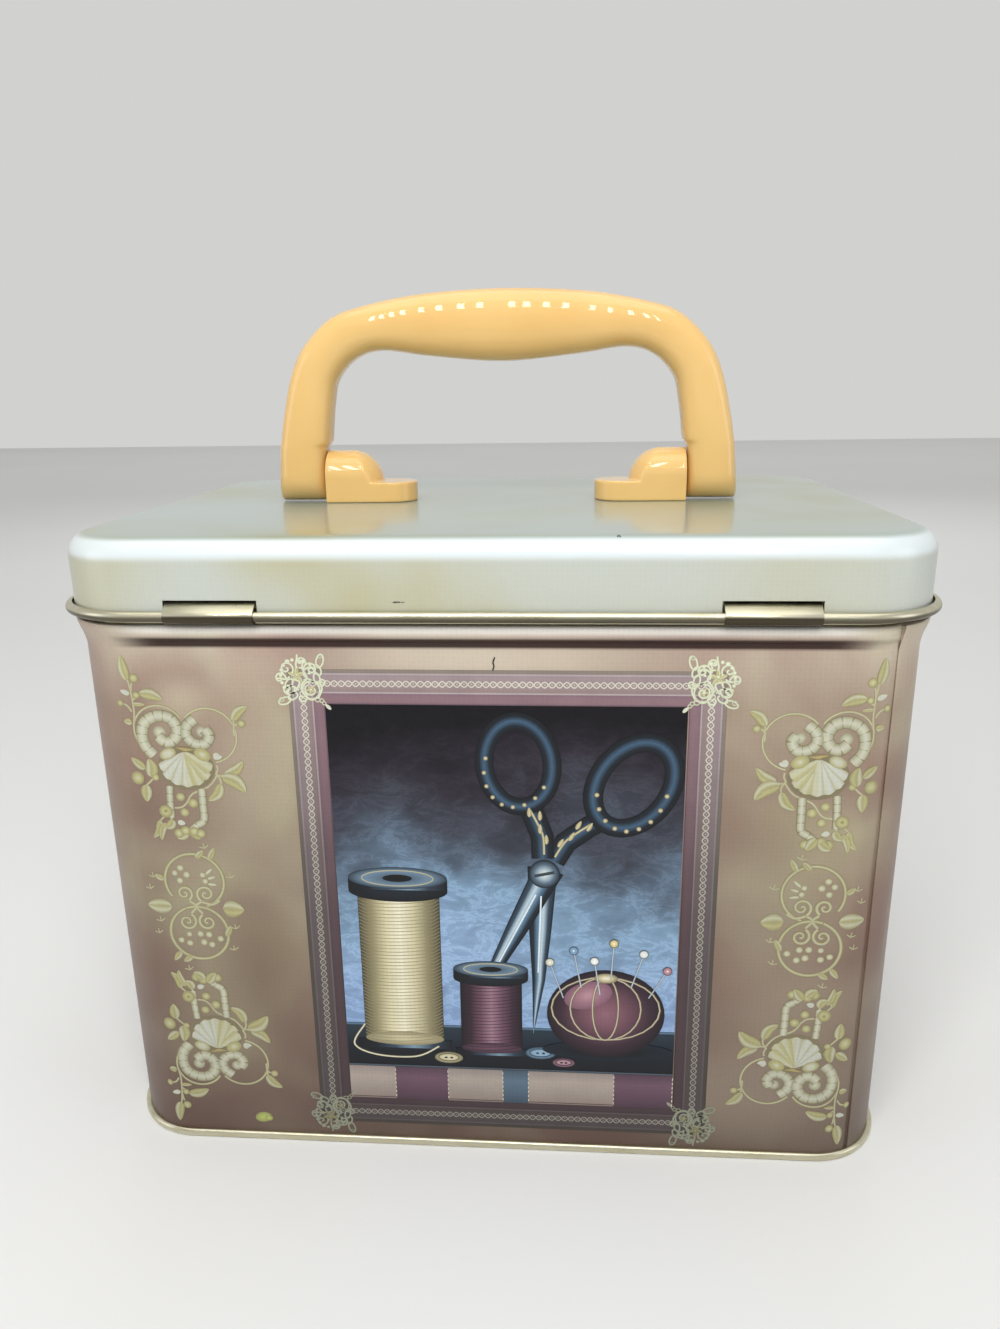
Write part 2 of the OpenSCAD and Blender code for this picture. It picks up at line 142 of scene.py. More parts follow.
def sweep_round(name, profile, w, d, r, turns):
    """Carry a profile, drawn outwards and up from an outline, round a rounded rectangle.

    turns lists the steps of each corner in degrees; each straight side gets short steps at its ends.
    """
    cx, cy = w / 2 - r, d / 2 - r
    obj = trace(name, [(cx, -d / 2 - out, z) for out, z in profile])
    bpy.ops.mesh.select_all(action="SELECT")
    corners = [(cx, -cy), (cx, cy), (-cx, cy), (-cx, -cy)]
    headings = [(0, 1), (-1, 0), (0, -1), (1, 0)]
    for k, (corner, heading) in enumerate(zip(corners, headings)):
        for turn in turns:
            bpy.ops.mesh.spin(
                steps=1, angle=-math.radians(turn),
                center=(corner[0] * MM, corner[1] * MM, 0), axis=(0, 0, 1))
        run = 2 * (cy if k % 2 == 0 else cx)
        ends = [2.0] * 4
        for length in ends + [run - 2 * sum(ends)] + ends:
            step = Vector((heading[0], heading[1], 0)) * length * MM
            bpy.ops.mesh.extrude_region_move(TRANSFORM_OT_translate={"value": step})
    return obj


def prism(name, loop, run):
    """A closed outline, extruded along a vector."""
    obj = trace(name, loop + loop[:1])
    bpy.ops.mesh.select_all(action="SELECT")
    bpy.ops.mesh.remove_doubles(threshold=DOUBLES)
    bpy.ops.mesh.edge_face_add()
    bpy.ops.mesh.extrude_region_move(TRANSFORM_OT_translate={"value": Vector(run) * MM})
    close_up(obj)
    return obj


def skin(name, rings):
    """A closed skin over a row of rings, made by laying a grid on them."""
    around, rows = len(rings[0]), len(rings)
    only()
    bpy.ops.mesh.primitive_grid_add(x_subdivisions=around, y_subdivisions=rows - 1, size=MM)
    obj = started(name)
    for row, ring in enumerate(rings):
        for k, point in enumerate(ring + ring[:1]):
            obj.data.vertices[row * (around + 1) + k].co = Vector(point) * MM
    close_up(obj)
    return obj


def cylinder(centre, r, length, axis, steps=48):
    """A round bar along x, y or z, used as a tool or as the start of a piece."""
    turn = {"x": (0, math.pi / 2, 0), "y": (math.pi / 2, 0, 0), "z": (0, 0, 0)}[axis]
    only()
    bpy.ops.mesh.primitive_cylinder_add(
        vertices=steps, radius=r * MM, depth=length * MM, location=Vector(centre) * MM, rotation=turn)
    obj = started("bar")
    bpy.ops.object.transform_apply(location=True, rotation=True, scale=True)
    return obj


def bevel_at(obj, wanted, width, segments):
    """Round the edges whose two ends both satisfy a test on place."""
    edit(obj)
    bpy.ops.mesh.select_all(action="DESELECT")
    bpy.ops.mesh.select_mode(type="EDGE")
    mesh = bmesh.from_edit_mesh(obj.data)
    for edge in mesh.edges:
        edge.select_set(all(wanted(v.co / MM) for v in edge.verts))
    bmesh.update_edit_mesh(obj.data)
    bpy.ops.mesh.bevel(offset=width * MM, segments=segments, affect="EDGES")
    bpy.ops.mesh.select_mode(type="VERT")
    bpy.ops.object.mode_set(mode="OBJECT")


def arc(cx, cz, r, a, b, n):
    """Points of an arc, from angle a to angle b in degrees."""
    angles = [math.radians(a + (b - a) * i / n) for i in range(n + 1)]
    return [(cx + r * math.cos(t), cz + r * math.sin(t)) for t in angles]


def offset(path, t):
    """The same path, moved to its left by t, with mitred corners."""
    moved = []
    for i, p in enumerate(path):
        a, b, c = path[max(i - 1, 0)], p, path[min(i + 1, len(path) - 1)]
        sides = [
            Vector((u[1] - v[1], v[0] - u[0])).normalized()
            for u, v in ((a, b), (b, c)) if u != v]
        total = sides[0] + sides[-1]
        shift = total * t / (1 + sides[0].dot(sides[-1]))
        moved.append((p[0] + shift.x, p[1] + shift.y))
    return moved


def folded(path, t):
    """Outline of a strip of sheet that follows a path, as one closed loop."""
    loop = path + offset(path, t)[::-1]
    return loop + [loop[0]]


def bevelled(obj, width):
    """Soften the edges that are sharper than 40 degrees."""
    only(obj)
    bevel = obj.modifiers.new("soft_edges", "BEVEL")
    bevel.width = width * MM
    bevel.segments = 2
    bevel.limit_method = "ANGLE"
    bevel.angle_limit = math.radians(40)
    bpy.ops.object.modifier_apply(modifier=bevel.name)


def softened(obj, voxel, rounds):
    """Remesh a moulded piece evenly and smooth it, which rounds all of its edges a little."""
    only(obj)
    even = obj.modifiers.new("even", "REMESH")
    even.mode = "VOXEL"
    even.voxel_size = voxel * MM
    bpy.ops.object.modifier_apply(modifier=even.name)
    soft = obj.modifiers.new("soft", "SMOOTH")
    soft.iterations = rounds
    bpy.ops.object.modifier_apply(modifier=soft.name)


def carved(obj, tool, operation="DIFFERENCE"):
    """Cut a tool out of a piece, or join it on, and remove the tool."""
    only(obj)
    cut = obj.modifiers.new("cut", "BOOLEAN")
    cut.operation = operation
    cut.object = tool
    cut.solver = "EXACT"
    bpy.ops.object.modifier_apply(modifier=cut.name)
    bpy.data.objects.remove(tool)


def block(low, high):
    """A plain block, used as a cutting tool or as the start of a piece."""
    only()
    low, high = Vector(low), Vector(high)
    bpy.ops.mesh.primitive_cube_add(size=1, location=(low + high) / 2 * MM, scale=(high - low) * MM)
    obj = started("block")
    bpy.ops.object.transform_apply(location=True, rotation=True, scale=True)
    return obj


def smooth_by(obj, angle):
    """Shade smoothly across edges that are flatter than the angle."""
    only(obj)
    bpy.ops.object.shade_smooth_by_angle(angle=math.radians(angle))


def painted(obj, *materials):
    """Give a piece its materials, the first of them on all faces."""
    obj.data.materials.clear()
    for material in materials:
        obj.data.materials.append(material)


def shaded(obj, name, rule):
    """Paint a share on each point of a piece, by a rule on its place in millimetres."""
    layer = obj.data.attributes.new(name, "FLOAT", "POINT")
    layer.data.foreach_set("value", [rule(v.co / MM) for v in obj.data.vertices])


def ease(x):
    """Smooth step from 0 to 1."""
    x = min(1.0, max(0.0, x))
    return x * x * (3 - 2 * x)


# Material helpers
def linear(colour):
    """An sRGB hex colour as linear red, green, blue and alpha."""
    parts = [int(colour[k:k + 2], 16) / 255 for k in (1, 3, 5)]
    return [c / 12.92 if c <= 0.04045 else ((c + 0.055) / 1.055) ** 2.4 for c in parts] + [1.0]


def scale_for(size):
    """Texture scale whose cells are this many millimetres wide."""
    return 1 / (size * MM)


def plug(tree, node, inputs):
    """Set inputs, each from a value, a hex colour, a socket, or a node whose first live output feeds it."""
    for name, value in inputs.items():
        if isinstance(value, bpy.types.Node):
            value = next(socket for socket in value.outputs if socket.enabled)
        if isinstance(value, bpy.types.NodeSocket):
            tree.links.new(value, node.inputs[name])
        else:
            node.inputs[name].default_value = linear(value) if isinstance(value, str) else value


def add(tree, kind, inputs=None, stops=None, **settings):
    """Add a node with its settings, its inputs and the stops of its colour ramp."""
    made = tree.nodes.new(kind)
    for name, value in settings.items():
        setattr(made, name, value)
    plug(tree, made, inputs or {})
    if stops:
        ramp = made.color_ramp
        while len(ramp.elements) < len(stops):
            ramp.elements.new(0.5)
        for element, (position, colour) in zip(ramp.elements, stops):
            element.position = position
            element.color = linear(colour)
    return made


def new_material(name, **uniform):
    """A material whose uniform values sit on the shader's own sockets."""
    material = bpy.data.materials.new(name)
    material.use_nodes = True
    tree = material.node_tree
    shader = tree.nodes["Principled BSDF"]
    plug(tree, shader, {label.replace("_", " "): value for label, value in uniform.items()})
    place = add(tree, "ShaderNodeTexCoord").outputs["Object"]
    return material, tree, shader, place


def front_spot(tree, place, x, z, rx, rz):
    """Share that is 1 at a point of the hinge side and falls to 0 at the rim of an oval round it."""
    moved = add(tree, "ShaderNodeVectorMath", {0: place, 1: (x * MM, 0, z * MM)}, operation="SUBTRACT")
    flat = add(tree, "ShaderNodeVectorMath", {
        0: moved, 1: (1 / (rx * MM), 0, 1 / (rz * MM))}, operation="MULTIPLY")
    reach = add(tree, "ShaderNodeVectorMath", {0: flat}, operation="LENGTH")
    share = add(tree, "ShaderNodeMapRange", {
        "Value": reach, "From Min": 1.0, "From Max": 0.0}, interpolation_type="SMOOTHSTEP")
    depth = add(tree, "ShaderNodeSeparateXYZ", {"Vector": place})
    front = add(tree, "ShaderNodeMath", {0: depth.outputs["Y"], 1: 0.0}, operation="LESS_THAN")
    return add(tree, "ShaderNodeMath", {0: share, 1: front}, operation="MULTIPLY")


def dot_screen(tree, place, low, high):
    """The printer's dots as a factor on colour, at 1.1 mm: coarser than real ones so that they show."""
    dots = add(tree, "ShaderNodeTexVoronoi", {
        "Vector": place, "Scale": scale_for(1.1), "Randomness": 0.25})
    return add(tree, "ShaderNodeMapRange", {
        "Value": dots, "From Min": 0.1, "From Max": 0.6, "To Min": low, "To Max": high})


# Materials
def lithographed_tinplate_rose():
    # Tinplate printed by offset lithography under a satin varnish: soft clouds of rose and olive
    # taupe, a faint screen of dots, and a broad gloss that wavers with the thin sheet
    material, tree, shader, place = new_material(
        "lithographed_tinplate_rose", Roughness=0.42, Specular_IOR_Level=0.3,
        Coat_Weight=0.1, Coat_Roughness=0.22)
    clouds = add(tree, "ShaderNodeTexNoise", {
        "Vector": place, "Scale": scale_for(42), "Detail": 2.5, "Distortion": 0.35})
    ground = add(tree, "ShaderNodeValToRGB", {"Fac": clouds}, stops=[
        (0.30, "#988075"), (0.46, "#AE998A"), (0.58, "#C0B39F"), (0.72, "#D3CEB0")])
    shifted = add(tree, "ShaderNodeMapping", {"Vector": place, "Location": (0.31, 0.12, 0.2)})
    blush = add(tree, "ShaderNodeTexNoise", {"Vector": shifted, "Scale": scale_for(30)})
    rose = add(tree, "ShaderNodeMapRange", {
        "Value": blush, "From Min": 0.45, "From Max": 0.75, "To Max": 0.55})
    colour = add(tree, "ShaderNodeMix", {0: rose, 6: ground, 7: "#AC887E"}, data_type="RGBA")
    # The larger clouds of the hinge side, each as place, half width, half height, colour and share
    for x, z, rx, rz, ink, share in (
            (0, 131, 60, 12, "#D6CCB8", 0.75), (-71, 121, 12, 9, "#D8CCB6", 0.7),
            (-57, 108, 13, 28, "#CFC3AF", 0.6), (-58, 52, 16, 34, "#9B8170", 0.7),
            (-84, 62, 10, 50, "#9A8275", 0.5), (72, 38, 30, 34, "#D2C6B2", 0.8),
            (66, 92, 15, 18, "#A8937F", 0.5), (64, 16, 36, 20, "#DCD0BE", 0.8)):
        spot = front_spot(tree, place, x, z, rx, rz)
        part = add(tree, "ShaderNodeMath", {0: spot, 1: share}, operation="MULTIPLY")
        colour = add(tree, "ShaderNodeMix", {0: part, 6: colour, 7: ink}, data_type="RGBA")
    # Darker towards the foot of the box: partly the print's own tone, partly painted shade standing in for
    # the light's falloff
    height = add(tree, "ShaderNodeSeparateXYZ", {"Vector": place})
    rise = add(tree, "ShaderNodeMapRange", {"Value": height.outputs["Z"], "From Max": 0.14})
    depth = add(tree, "ShaderNodeValToRGB", {"Fac": rise}, stops=[
        (0.0, "#8D8682"), (0.2, "#A39A96"), (0.6, "#C4BEB8"), (0.86, "#DCD8D2"), (0.97, "#FFFFFF")])
    colour = add(
        tree, "ShaderNodeMix", {0: 1.0, 6: colour, 7: depth}, data_type="RGBA", blend_type="MULTIPLY")
    # Painted shade under the bead, and a painted highlight along the bead's crest
    for mask, ink in (("painted_shade", "#2E120B"), ("painted_highlight", "#E8E5DC")):
        share = add(tree, "ShaderNodeAttribute", attribute_name=mask).outputs["Fac"]
        colour = add(tree, "ShaderNodeMix", {0: share, 6: colour, 7: ink}, data_type="RGBA")
    dots = dot_screen(tree, place, 0.965, 1.03)
    printed = add(
        tree, "ShaderNodeMix", {0: 1.0, 6: colour, 7: dots}, data_type="RGBA", blend_type="MULTIPLY")
    wavy = add(tree, "ShaderNodeTexNoise", {"Vector": place, "Scale": scale_for(60), "Detail": 1.0})
    bump = add(tree, "ShaderNodeBump", {"Height": wavy, "Strength": 0.35, "Distance": 0.6 * MM})
    plug(tree, shader, {"Base Color": printed, "Normal": bump})
    return material


def lithographed_tinplate_ivory():
    # The same varnished print in ivory: cool white with straw-yellow stains, glossier than the wall
    material, tree, shader, place = new_material(
        "lithographed_tinplate_ivory", Roughness=0.30, Coat_Weight=0.6, Coat_Roughness=0.12)
    clouds = add(tree, "ShaderNodeTexNoise", {
        "Vector": place, "Scale": scale_for(50), "Roughness": 0.45, "Distortion": 0.2})
    ground = add(tree, "ShaderNodeValToRGB", {"Fac": clouds}, stops=[
        (0.32, "#B4B08C"), (0.44, "#BBBCAA"), (0.56, "#BDC1B7"), (0.70, "#C0C6C0")])
    dots = dot_screen(tree, place, 0.98, 1.015)
    printed = add(
        tree, "ShaderNodeMix", {0: 1.0, 6: ground, 7: dots}, data_type="RGBA", blend_type="MULTIPLY")
    # Painted highlight: the rounded edge is painted a paler, cooler white; painted shade: the flat top is
    # painted darker
    painted_top_shade = add(tree, "ShaderNodeMix", {
        0: 1.0, 6: printed, 7: (0.63, 0.71, 0.71, 1.0)}, data_type="RGBA", blend_type="MULTIPLY")
    height = add(tree, "ShaderNodeSeparateXYZ", {"Vector": place}).outputs["Z"]
    colour = printed
    for start, end, most, tint in ((5.6, 3.6, 0.85, "#D8E1E3"), (1.2, 0.1, 1.0, painted_top_shade)):
        share = add(tree, "ShaderNodeMapRange", {
            "Value": height, "From Min": (LID_Z - start) * MM, "From Max": (LID_Z - end) * MM,
            "To Max": most}, interpolation_type="SMOOTHSTEP")
        colour = add(tree, "ShaderNodeMix", {0: share, 6: colour, 7: tint}, data_type="RGBA")
    # Two small scuffs through the varnish on the hinge side
    for x, z, rx, rz in ((-19.0, 145.0, 3.4, 0.45), (28.7, 158.7, 1.0, 0.5)):
        near = front_spot(tree, place, x, z, rx, rz)
        crumbs = add(tree, "ShaderNodeTexNoise", {"Vector": place, "Scale": scale_for(0.7)})
        broken = add(tree, "ShaderNodeMath", {0: near, 1: crumbs}, operation="MULTIPLY")
        scuff = add(tree, "ShaderNodeMapRange", {
            "Value": broken, "From Min": 0.24, "From Max": 0.34, "To Max": 0.9})
        colour = add(tree, "ShaderNodeMix", {0: scuff, 6: colour, 7: "#2B2A28"}, data_type="RGBA")
    wavy = add(tree, "ShaderNodeTexNoise", {"Vector": place, "Scale": scale_for(50), "Detail": 1.0})
    bump = add(tree, "ShaderNodeBump", {"Height": wavy, "Strength": 0.3, "Distance": 0.6 * MM})
    plug(tree, shader, {"Base Color": colour, "Normal": bump})
    return material


def gold_lacquered_tinplate():
    # Bare tinplate under a clear pale-gold lacquer: rolled, so its reflection is drawn out a little
    material, tree, shader, place = new_material("gold_lacquered_tinplate", Metallic=1.0)
    stretched = add(tree, "ShaderNodeMapping", {"Vector": place, "Scale": (0.2, 1.0, 1.0)})
    rolled = add(tree, "ShaderNodeTexNoise", {"Vector": stretched, "Scale": scale_for(2), "Detail": 3.0})
    tint = add(tree, "ShaderNodeValToRGB", {"Fac": rolled}, stops=[(0.3, "#C7C1A5"), (0.7, "#D6D1BA")])
    # Painted shade: the attribute darkens the lower faces of the curl and straps, standing in for dark
    # reflections
    painted_shade = add(tree, "ShaderNodeAttribute", attribute_name="painted_shade").outputs["Fac"]
    painted_shade_tint = add(tree, "ShaderNodeMix", {0: painted_shade, 6: tint, 7: "#3C3528"}, data_type="RGBA")
    gloss = add(tree, "ShaderNodeMapRange", {
        "Value": rolled, "From Min": 0.3, "From Max": 0.7, "To Min": 0.27, "To Max": 0.33})
    plug(tree, shader, {"Base Color": painted_shade_tint, "Roughness": gloss})
    return material


def moulded_peach_plastic():
    # Injection-moulded, pigmented ABS: even peach colour, a wet gloss and a trace of light inside it
    material, tree, shader, place = new_material(
        "moulded_peach_plastic", Roughness=0.4, Specular_IOR_Level=0.15,
        Coat_Weight=1.0, Coat_Roughness=0.025, Subsurface_Weight=0.12,
        Subsurface_Radius=(0.004, 0.002, 0.001), Subsurface_Scale=1.0)
    flow = add(tree, "ShaderNodeTexNoise", {"Vector": place, "Scale": scale_for(30)})
    tint = add(tree, "ShaderNodeValToRGB", {"Fac": flow}, stops=[(0.35, "#E5BA71"), (0.65, "#EBC37C")])
    sink = add(tree, "ShaderNodeBump", {"Height": flow, "Strength": 0.15, "Distance": 0.4 * MM})
    plug(tree, shader, {"Base Color": tint, "Normal": sink})
    return material


def zinc_plated_steel():
    # Bright zinc on turned steel: cool grey metal with a fine mottle
    material, tree, shader, place = new_material("zinc_plated_steel", Metallic=1.0)
    grain = add(tree, "ShaderNodeTexNoise", {"Vector": place, "Scale": scale_for(1.2), "Detail": 3.0})
    tint = add(tree, "ShaderNodeValToRGB", {"Fac": grain}, stops=[(0.3, "#A9ACB0"), (0.7, "#C9CBCC")])
    gloss = add(tree, "ShaderNodeMapRange", {
        "Value": grain, "From Min": 0.3, "From Max": 0.7, "To Min": 0.28, "To Max": 0.42})
    plug(tree, shader, {"Base Color": tint, "Roughness": gloss})
    return material


def lithograph_ink():
    # Opaque printing ink under the same satin varnish: each film's colour is painted on its points,
    # and wear and a fine screen of dots break it up a little
    material, tree, shader, place = new_material(
        "lithograph_ink", Roughness=0.42, Specular_IOR_Level=0.3, Coat_Weight=0.06, Coat_Roughness=0.22)
    ink = add(tree, "ShaderNodeAttribute", attribute_name="ink")
    worn = add(tree, "ShaderNodeTexNoise", {"Vector": place, "Scale": scale_for(6), "Detail": 3.0})
    wear = add(tree, "ShaderNodeMapRange", {
        "Value": worn, "From Min": 0.3, "From Max": 0.75, "To Min": 1.0, "To Max": 0.9})
    both = add(
        tree, "ShaderNodeMath", {0: wear, 1: dot_screen(tree, place, 0.96, 1.03)}, operation="MULTIPLY")
    printed = add(tree, "ShaderNodeMix", {0: 1.0, 6: ink, 7: both}, data_type="RGBA", blend_type="MULTIPLY")
    plug(tree, shader, {"Base Color": printed})
    return material


def printed_backdrop():
    # Backdrop of the still lifes: plum-black cloth above, slate-blue haze below, with pale creases
    material, tree, shader, place = new_material(
        "printed_backdrop", Roughness=0.42, Specular_IOR_Level=0.2, Coat_Weight=0.05, Coat_Roughness=0.22)
    height = add(tree, "ShaderNodeSeparateXYZ", {"Vector": place})
    waver = add(tree, "ShaderNodeTexNoise", {
        "Vector": place, "Scale": scale_for(30), "Detail": 4.0, "Roughness": 0.55})
    shift = add(tree, "ShaderNodeMapRange", {
        "Value": waver, "From Min": 0.3, "From Max": 0.7, "To Min": -12 * MM, "To Max": 12 * MM})
    raised = add(tree, "ShaderNodeMath", {0: height.outputs["Z"], 1: shift}, operation="ADD")
    share = add(tree, "ShaderNodeMapRange", {"Value": raised, "From Min": 24 * MM, "From Max": 121 * MM})
    washes = add(tree, "ShaderNodeValToRGB", {"Fac": share}, stops=[
        (0.0, "#4C6584"), (0.1, "#829CC0"), (0.3, "#8BA5C3"), (0.46, "#7C98B0"), (0.58, "#52606F"),
        (0.67, "#3E424C"), (0.82, "#2D2932"), (1.0, "#100E13")])
    flattened = add(tree, "ShaderNodeMapping", {"Vector": place, "Scale": (0.7, 0.7, 1.5)})
    folds = add(tree, "ShaderNodeTexNoise", {
        "Vector": flattened, "Scale": scale_for(8), "Detail": 10.0, "Roughness": 0.75, "Distortion": 0.5})
    crease = add(tree, "ShaderNodeValToRGB", {"Fac": folds}, stops=[
        (0.36, "#8E8E93"), (0.49, "#B6B6BA"), (0.52, "#F0EDF0"), (0.55, "#BEBEC2"), (0.68, "#A0A0A4")])
    creased = add(
        tree, "ShaderNodeMix", {0: 0.5, 6: washes, 7: crease}, data_type="RGBA", blend_type="OVERLAY")
    plug(tree, shader, {"Base Color": creased})
    return material


ROSE = lithographed_tinplate_rose()
IVORY = lithographed_tinplate_ivory()
GOLD = gold_lacquered_tinplate()
PEACH = moulded_peach_plastic()
ZINC = zinc_plated_steel()
INK = lithograph_ink()
BACKDROP = printed_backdrop()

# Box wall: its shoulder is a bead along the sides that opens into a soft flare round the corners.
# Each row is height, how far the bead stands out, and how far the flare stands out.
SHOULDER = [
    (132.8, 0.0, 0.0), (133.4, 0.0, 0.07), (133.8, 0.0, 0.14), (134.2, 0.0, 0.22), (134.55, 0.01, 0.3),
    (134.9, 0.03, 0.38), (135.3, 0.1, 0.48), (135.6, 0.28, 0.56), (135.85, 0.62, 0.64),
    (136.1, 1.0, 0.72), (136.45, 1.35, 0.84), (136.9, 1.57, 1.0), (137.5, 1.65, 1.22),
    (138.1, 1.65, 1.42), (138.7, 1.56, 1.57), (139.15, 1.34, 1.63), (139.5, 0.98, 1.55),
    (139.72, 0.5, 1.1), (139.8, 0.0, 0.0)]
SHOULDER_FOOT = SHOULDER[0][0]
SHOULDER_TOP = SHOULDER[-1][0]
# The lapped seam covers this stretch of the corner at +X, -Y, in degrees from the hinge side
SEAM_FROM, SEAM_TO = 30.0, 52.0
# The bead's rounded tip starts at this angle before the seam
TIP_FROM = 21.0
# Thickness of the seam's lap, and depth of the notch beside it
LAP_T = 0.3
# Steps round each corner in degrees, finest near the seam's start
CORNER_TURNS = [4] * 5 + [2, 2] + [1] * 10 + [4] * 5 + [5] * 7 + [1]


def place_on_outline(x, y):
    """Corner centre, outward direction and angle past the nearer long side, for a point of the wall."""
    cx, cy = BOX_W / 2 - BOX_R, BOX_D / 2 - BOX_R
    qx, qy = abs(x) - cx, abs(y) - cy
    if qx > 0 and qy > 0:
        along = Vector((qx, qy)).normalized()
        angle = math.degrees(math.atan2(qx, qy))
        return along.x * math.copysign(1, x), along.y * math.copysign(1, y), angle
    if qy > qx:
        return 0.0, math.copysign(1, y), math.degrees(min(qx, 0) / BOX_R)
    return math.copysign(1, x), 0.0, 90 - math.degrees(min(qy, 0) / BOX_R)


def flare_share(angle):
    """How far the shoulder has turned from bead to flare at this angle round a corner."""
    margin, run = 18, 42
    return ease((angle + margin) / run) * ease((90 + margin - angle) / run)


def shoulder_shift(row, angle, seamed):
    """Move of a shoulder row from the bead's own profile."""
    _, bead, flare = row
    share = flare_share(angle)
    if seamed and angle < SEAM_TO:
        share *= 0.3 + 0.7 * ease((angle - SEAM_FROM) / 8)
    out = bead + (flare - bead) * share
    if seamed and angle < SEAM_FROM:
        # The bead ends in a rounded tip before the seam, where a narrow notch is left
        tip = (1 - max(0.0, angle - TIP_FROM) / (SEAM_FROM - TIP_FROM)) ** 0.5
        out *= 0.12 + 0.88 * tip
    elif seamed and angle <= SEAM_TO:
        out -= LAP_T
    return out - bead


def is_wall_inside(x, y):
    """True for points on the inner face of the wall's sheet."""
    nx, ny, _ = place_on_outline(x, y)
    return abs(nx) * (abs(x) - BOX_W / 2 + BOX_R) + abs(ny) * (abs(y) - BOX_D / 2 + BOX_R) < BOX_R - 0.1


def painted_shade_under_bead(p):
    """Share of the painted shade below the bead, which fades out round the corners."""
    if is_wall_inside(p.x, p.y) or p.z > 137:
        return 0.0
    straight = 1 - flare_share(place_on_outline(p.x, p.y)[2])
    return 0.97 * ease((p.z - 133.9) / 0.7) * (1 - ease((p.z - 136.4) / 0.8)) * straight


def painted_crest_highlight(p):
    """Share of the painted highlight along the bead's crest."""
    if is_wall_inside(p.x, p.y) or p.z > SHOULDER_TOP - 0.2:
        return 0.0
    straight = 1 - flare_share(place_on_outline(p.x, p.y)[2])
    return 0.85 * ease((p.z - 137.0) / 1.7) * straight


def build_box_wall():
    # One wrap of sheet: straight sides, the shoulder, and a neck that is curled in at its top
    outer = [(0.0, WALL_Z), (0.0, 45.0), (0.0, 90.0)] + [(bead, z) for z, bead, _ in SHOULDER]
    curl = arc(-NECK_CURL_R, NECK_Z - NECK_CURL_R, NECK_CURL_R, 0, 285, 14)
    inner_curl = arc(-NECK_CURL_R, NECK_Z - NECK_CURL_R, NECK_CURL_R - SHEET, 285, 0, 14)
    inner = [(bead - SHEET, z) for z, bead, _ in SHOULDER[::-1]] + [(-SHEET, WALL_Z)]
    profile = outer + curl + inner_curl + inner
    wall = sweep_round("printed_box_wall", profile + [profile[0]], BOX_W, BOX_D, BOX_R, CORNER_TURNS)
    close_up(wall, fill=False)
    rows = {round(row[0], 2): row for row in SHOULDER}
    for v in wall.data.vertices:
        x, y, z = v.co / MM
        nx, ny, angle = place_on_outline(x, y)
        seamed = x > 0 > y
        if round(z, 2) in rows:
            shift = shoulder_shift(rows[round(z, 2)], angle, seamed)
            v.co += Vector((nx, ny, 0)) * shift * MM
        elif seamed and SEAM_FROM - 2 < angle < SEAM_FROM and z < SHOULDER_FOOT:
            v.co -= Vector((nx, ny, 0)) * LAP_T * MM
    room = 0.05
    for side in (-1, 1):
        slit = block(
            (side * HINGE_X - HINGE_W / 2, -BOX_D / 2 - 1, STRAP_HIGH.z - SHEET - room),
            (side * HINGE_X + HINGE_W / 2, -BOX_D / 2 + 1, STRAP_HIGH.z + room))
        carved(wall, slit)
    painted(wall, ROSE, GOLD)
    for face in wall.data.polygons:
        x, y, z = face.center / MM
        nx, ny, _ = place_on_outline(x, y)
        outward = face.normal.x * nx + face.normal.y * ny
        face.material_index = 1 if z > SHOULDER_TOP - 0.1 or outward < -0.01 else 0
    # Painted shade under the bead and a painted highlight along its crest
    shaded(wall, "painted_shade", painted_shade_under_bead)
    shaded(wall, "painted_highlight", painted_crest_highlight)
    smooth_by(wall, 50)
    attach(wall, "box")
    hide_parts("box_wall")


def build_side_seam():
    # Lapped strip on the corner, which follows the flare and ends under the lid's curl
    rows = [(LAP_T + 0.02, z) for z in (BASE_HIGH.z - 0.25, 60.0, 120.0)]
    rows += [(flare + 0.02 + LAP_T * (1 - flare / SHOULDER_OUT), z) for z, _, flare in SHOULDER[:-2]]
    cx, cy = BOX_W / 2 - BOX_R, BOX_D / 2 - BOX_R
    centre = Vector((cx, -cy, 0)) * MM
    seam = trace("side_seam_lap", [(cx, -BOX_D / 2 - out, z) for out, z in rows])
    bpy.ops.mesh.select_all(action="SELECT")
    bpy.ops.transform.rotate(value=-math.radians(SEAM_FROM), orient_axis="Z", center_override=centre)
    bpy.ops.mesh.spin(steps=10, angle=-math.radians(SEAM_TO - SEAM_FROM), center=centre, axis=(0, 0, 1))
    close_up(seam, fill=False)
    only(seam)
    sheet = seam.modifiers.new("sheet", "SOLIDIFY")
    sheet.thickness = LAP_T * MM
    sheet.offset = -1
    bpy.ops.object.modifier_apply(modifier=sheet.name)
    bevelled(seam, 0.1)
    smooth_by(seam, 40)
    painted(seam, ROSE)
    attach(seam, "box")


def build_base():
    # Folded rim round the wall's foot, and the recessed panel inside it
    rim_soft, panel_z, gap, soft = 0.9, BASE_HIGH.z - SHEET, 0.03, 0.2
    rim_out, rim_h = (BASE_HIGH.x - BASE_LOW.x - BOX_W) / 2, 2.1
    leg = -SHEET - gap
    profile = [(-BOX_R, panel_z), (leg - SHEET, panel_z), (leg - SHEET, soft), (leg - SHEET + soft, 0)]
    profile += arc(rim_out - rim_soft, rim_soft, rim_soft, -90, 0, 6)
    profile += arc(rim_out - rim_soft, rim_h - rim_soft, rim_soft, 0, 80, 6)
    profile += [(gap, rim_h - 0.05), (gap, WALL_Z), (leg, WALL_Z), (leg, panel_z + SHEET)]
    profile += [(-BOX_R, panel_z + SHEET)]
    base = sweep_round("folded_base", profile, BOX_W, BOX_D, BOX_R, [5] * 18)
    close_up(base)
    smooth_by(base, 40)
    painted(base, GOLD)
    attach(base, "box")
    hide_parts("base_panel")


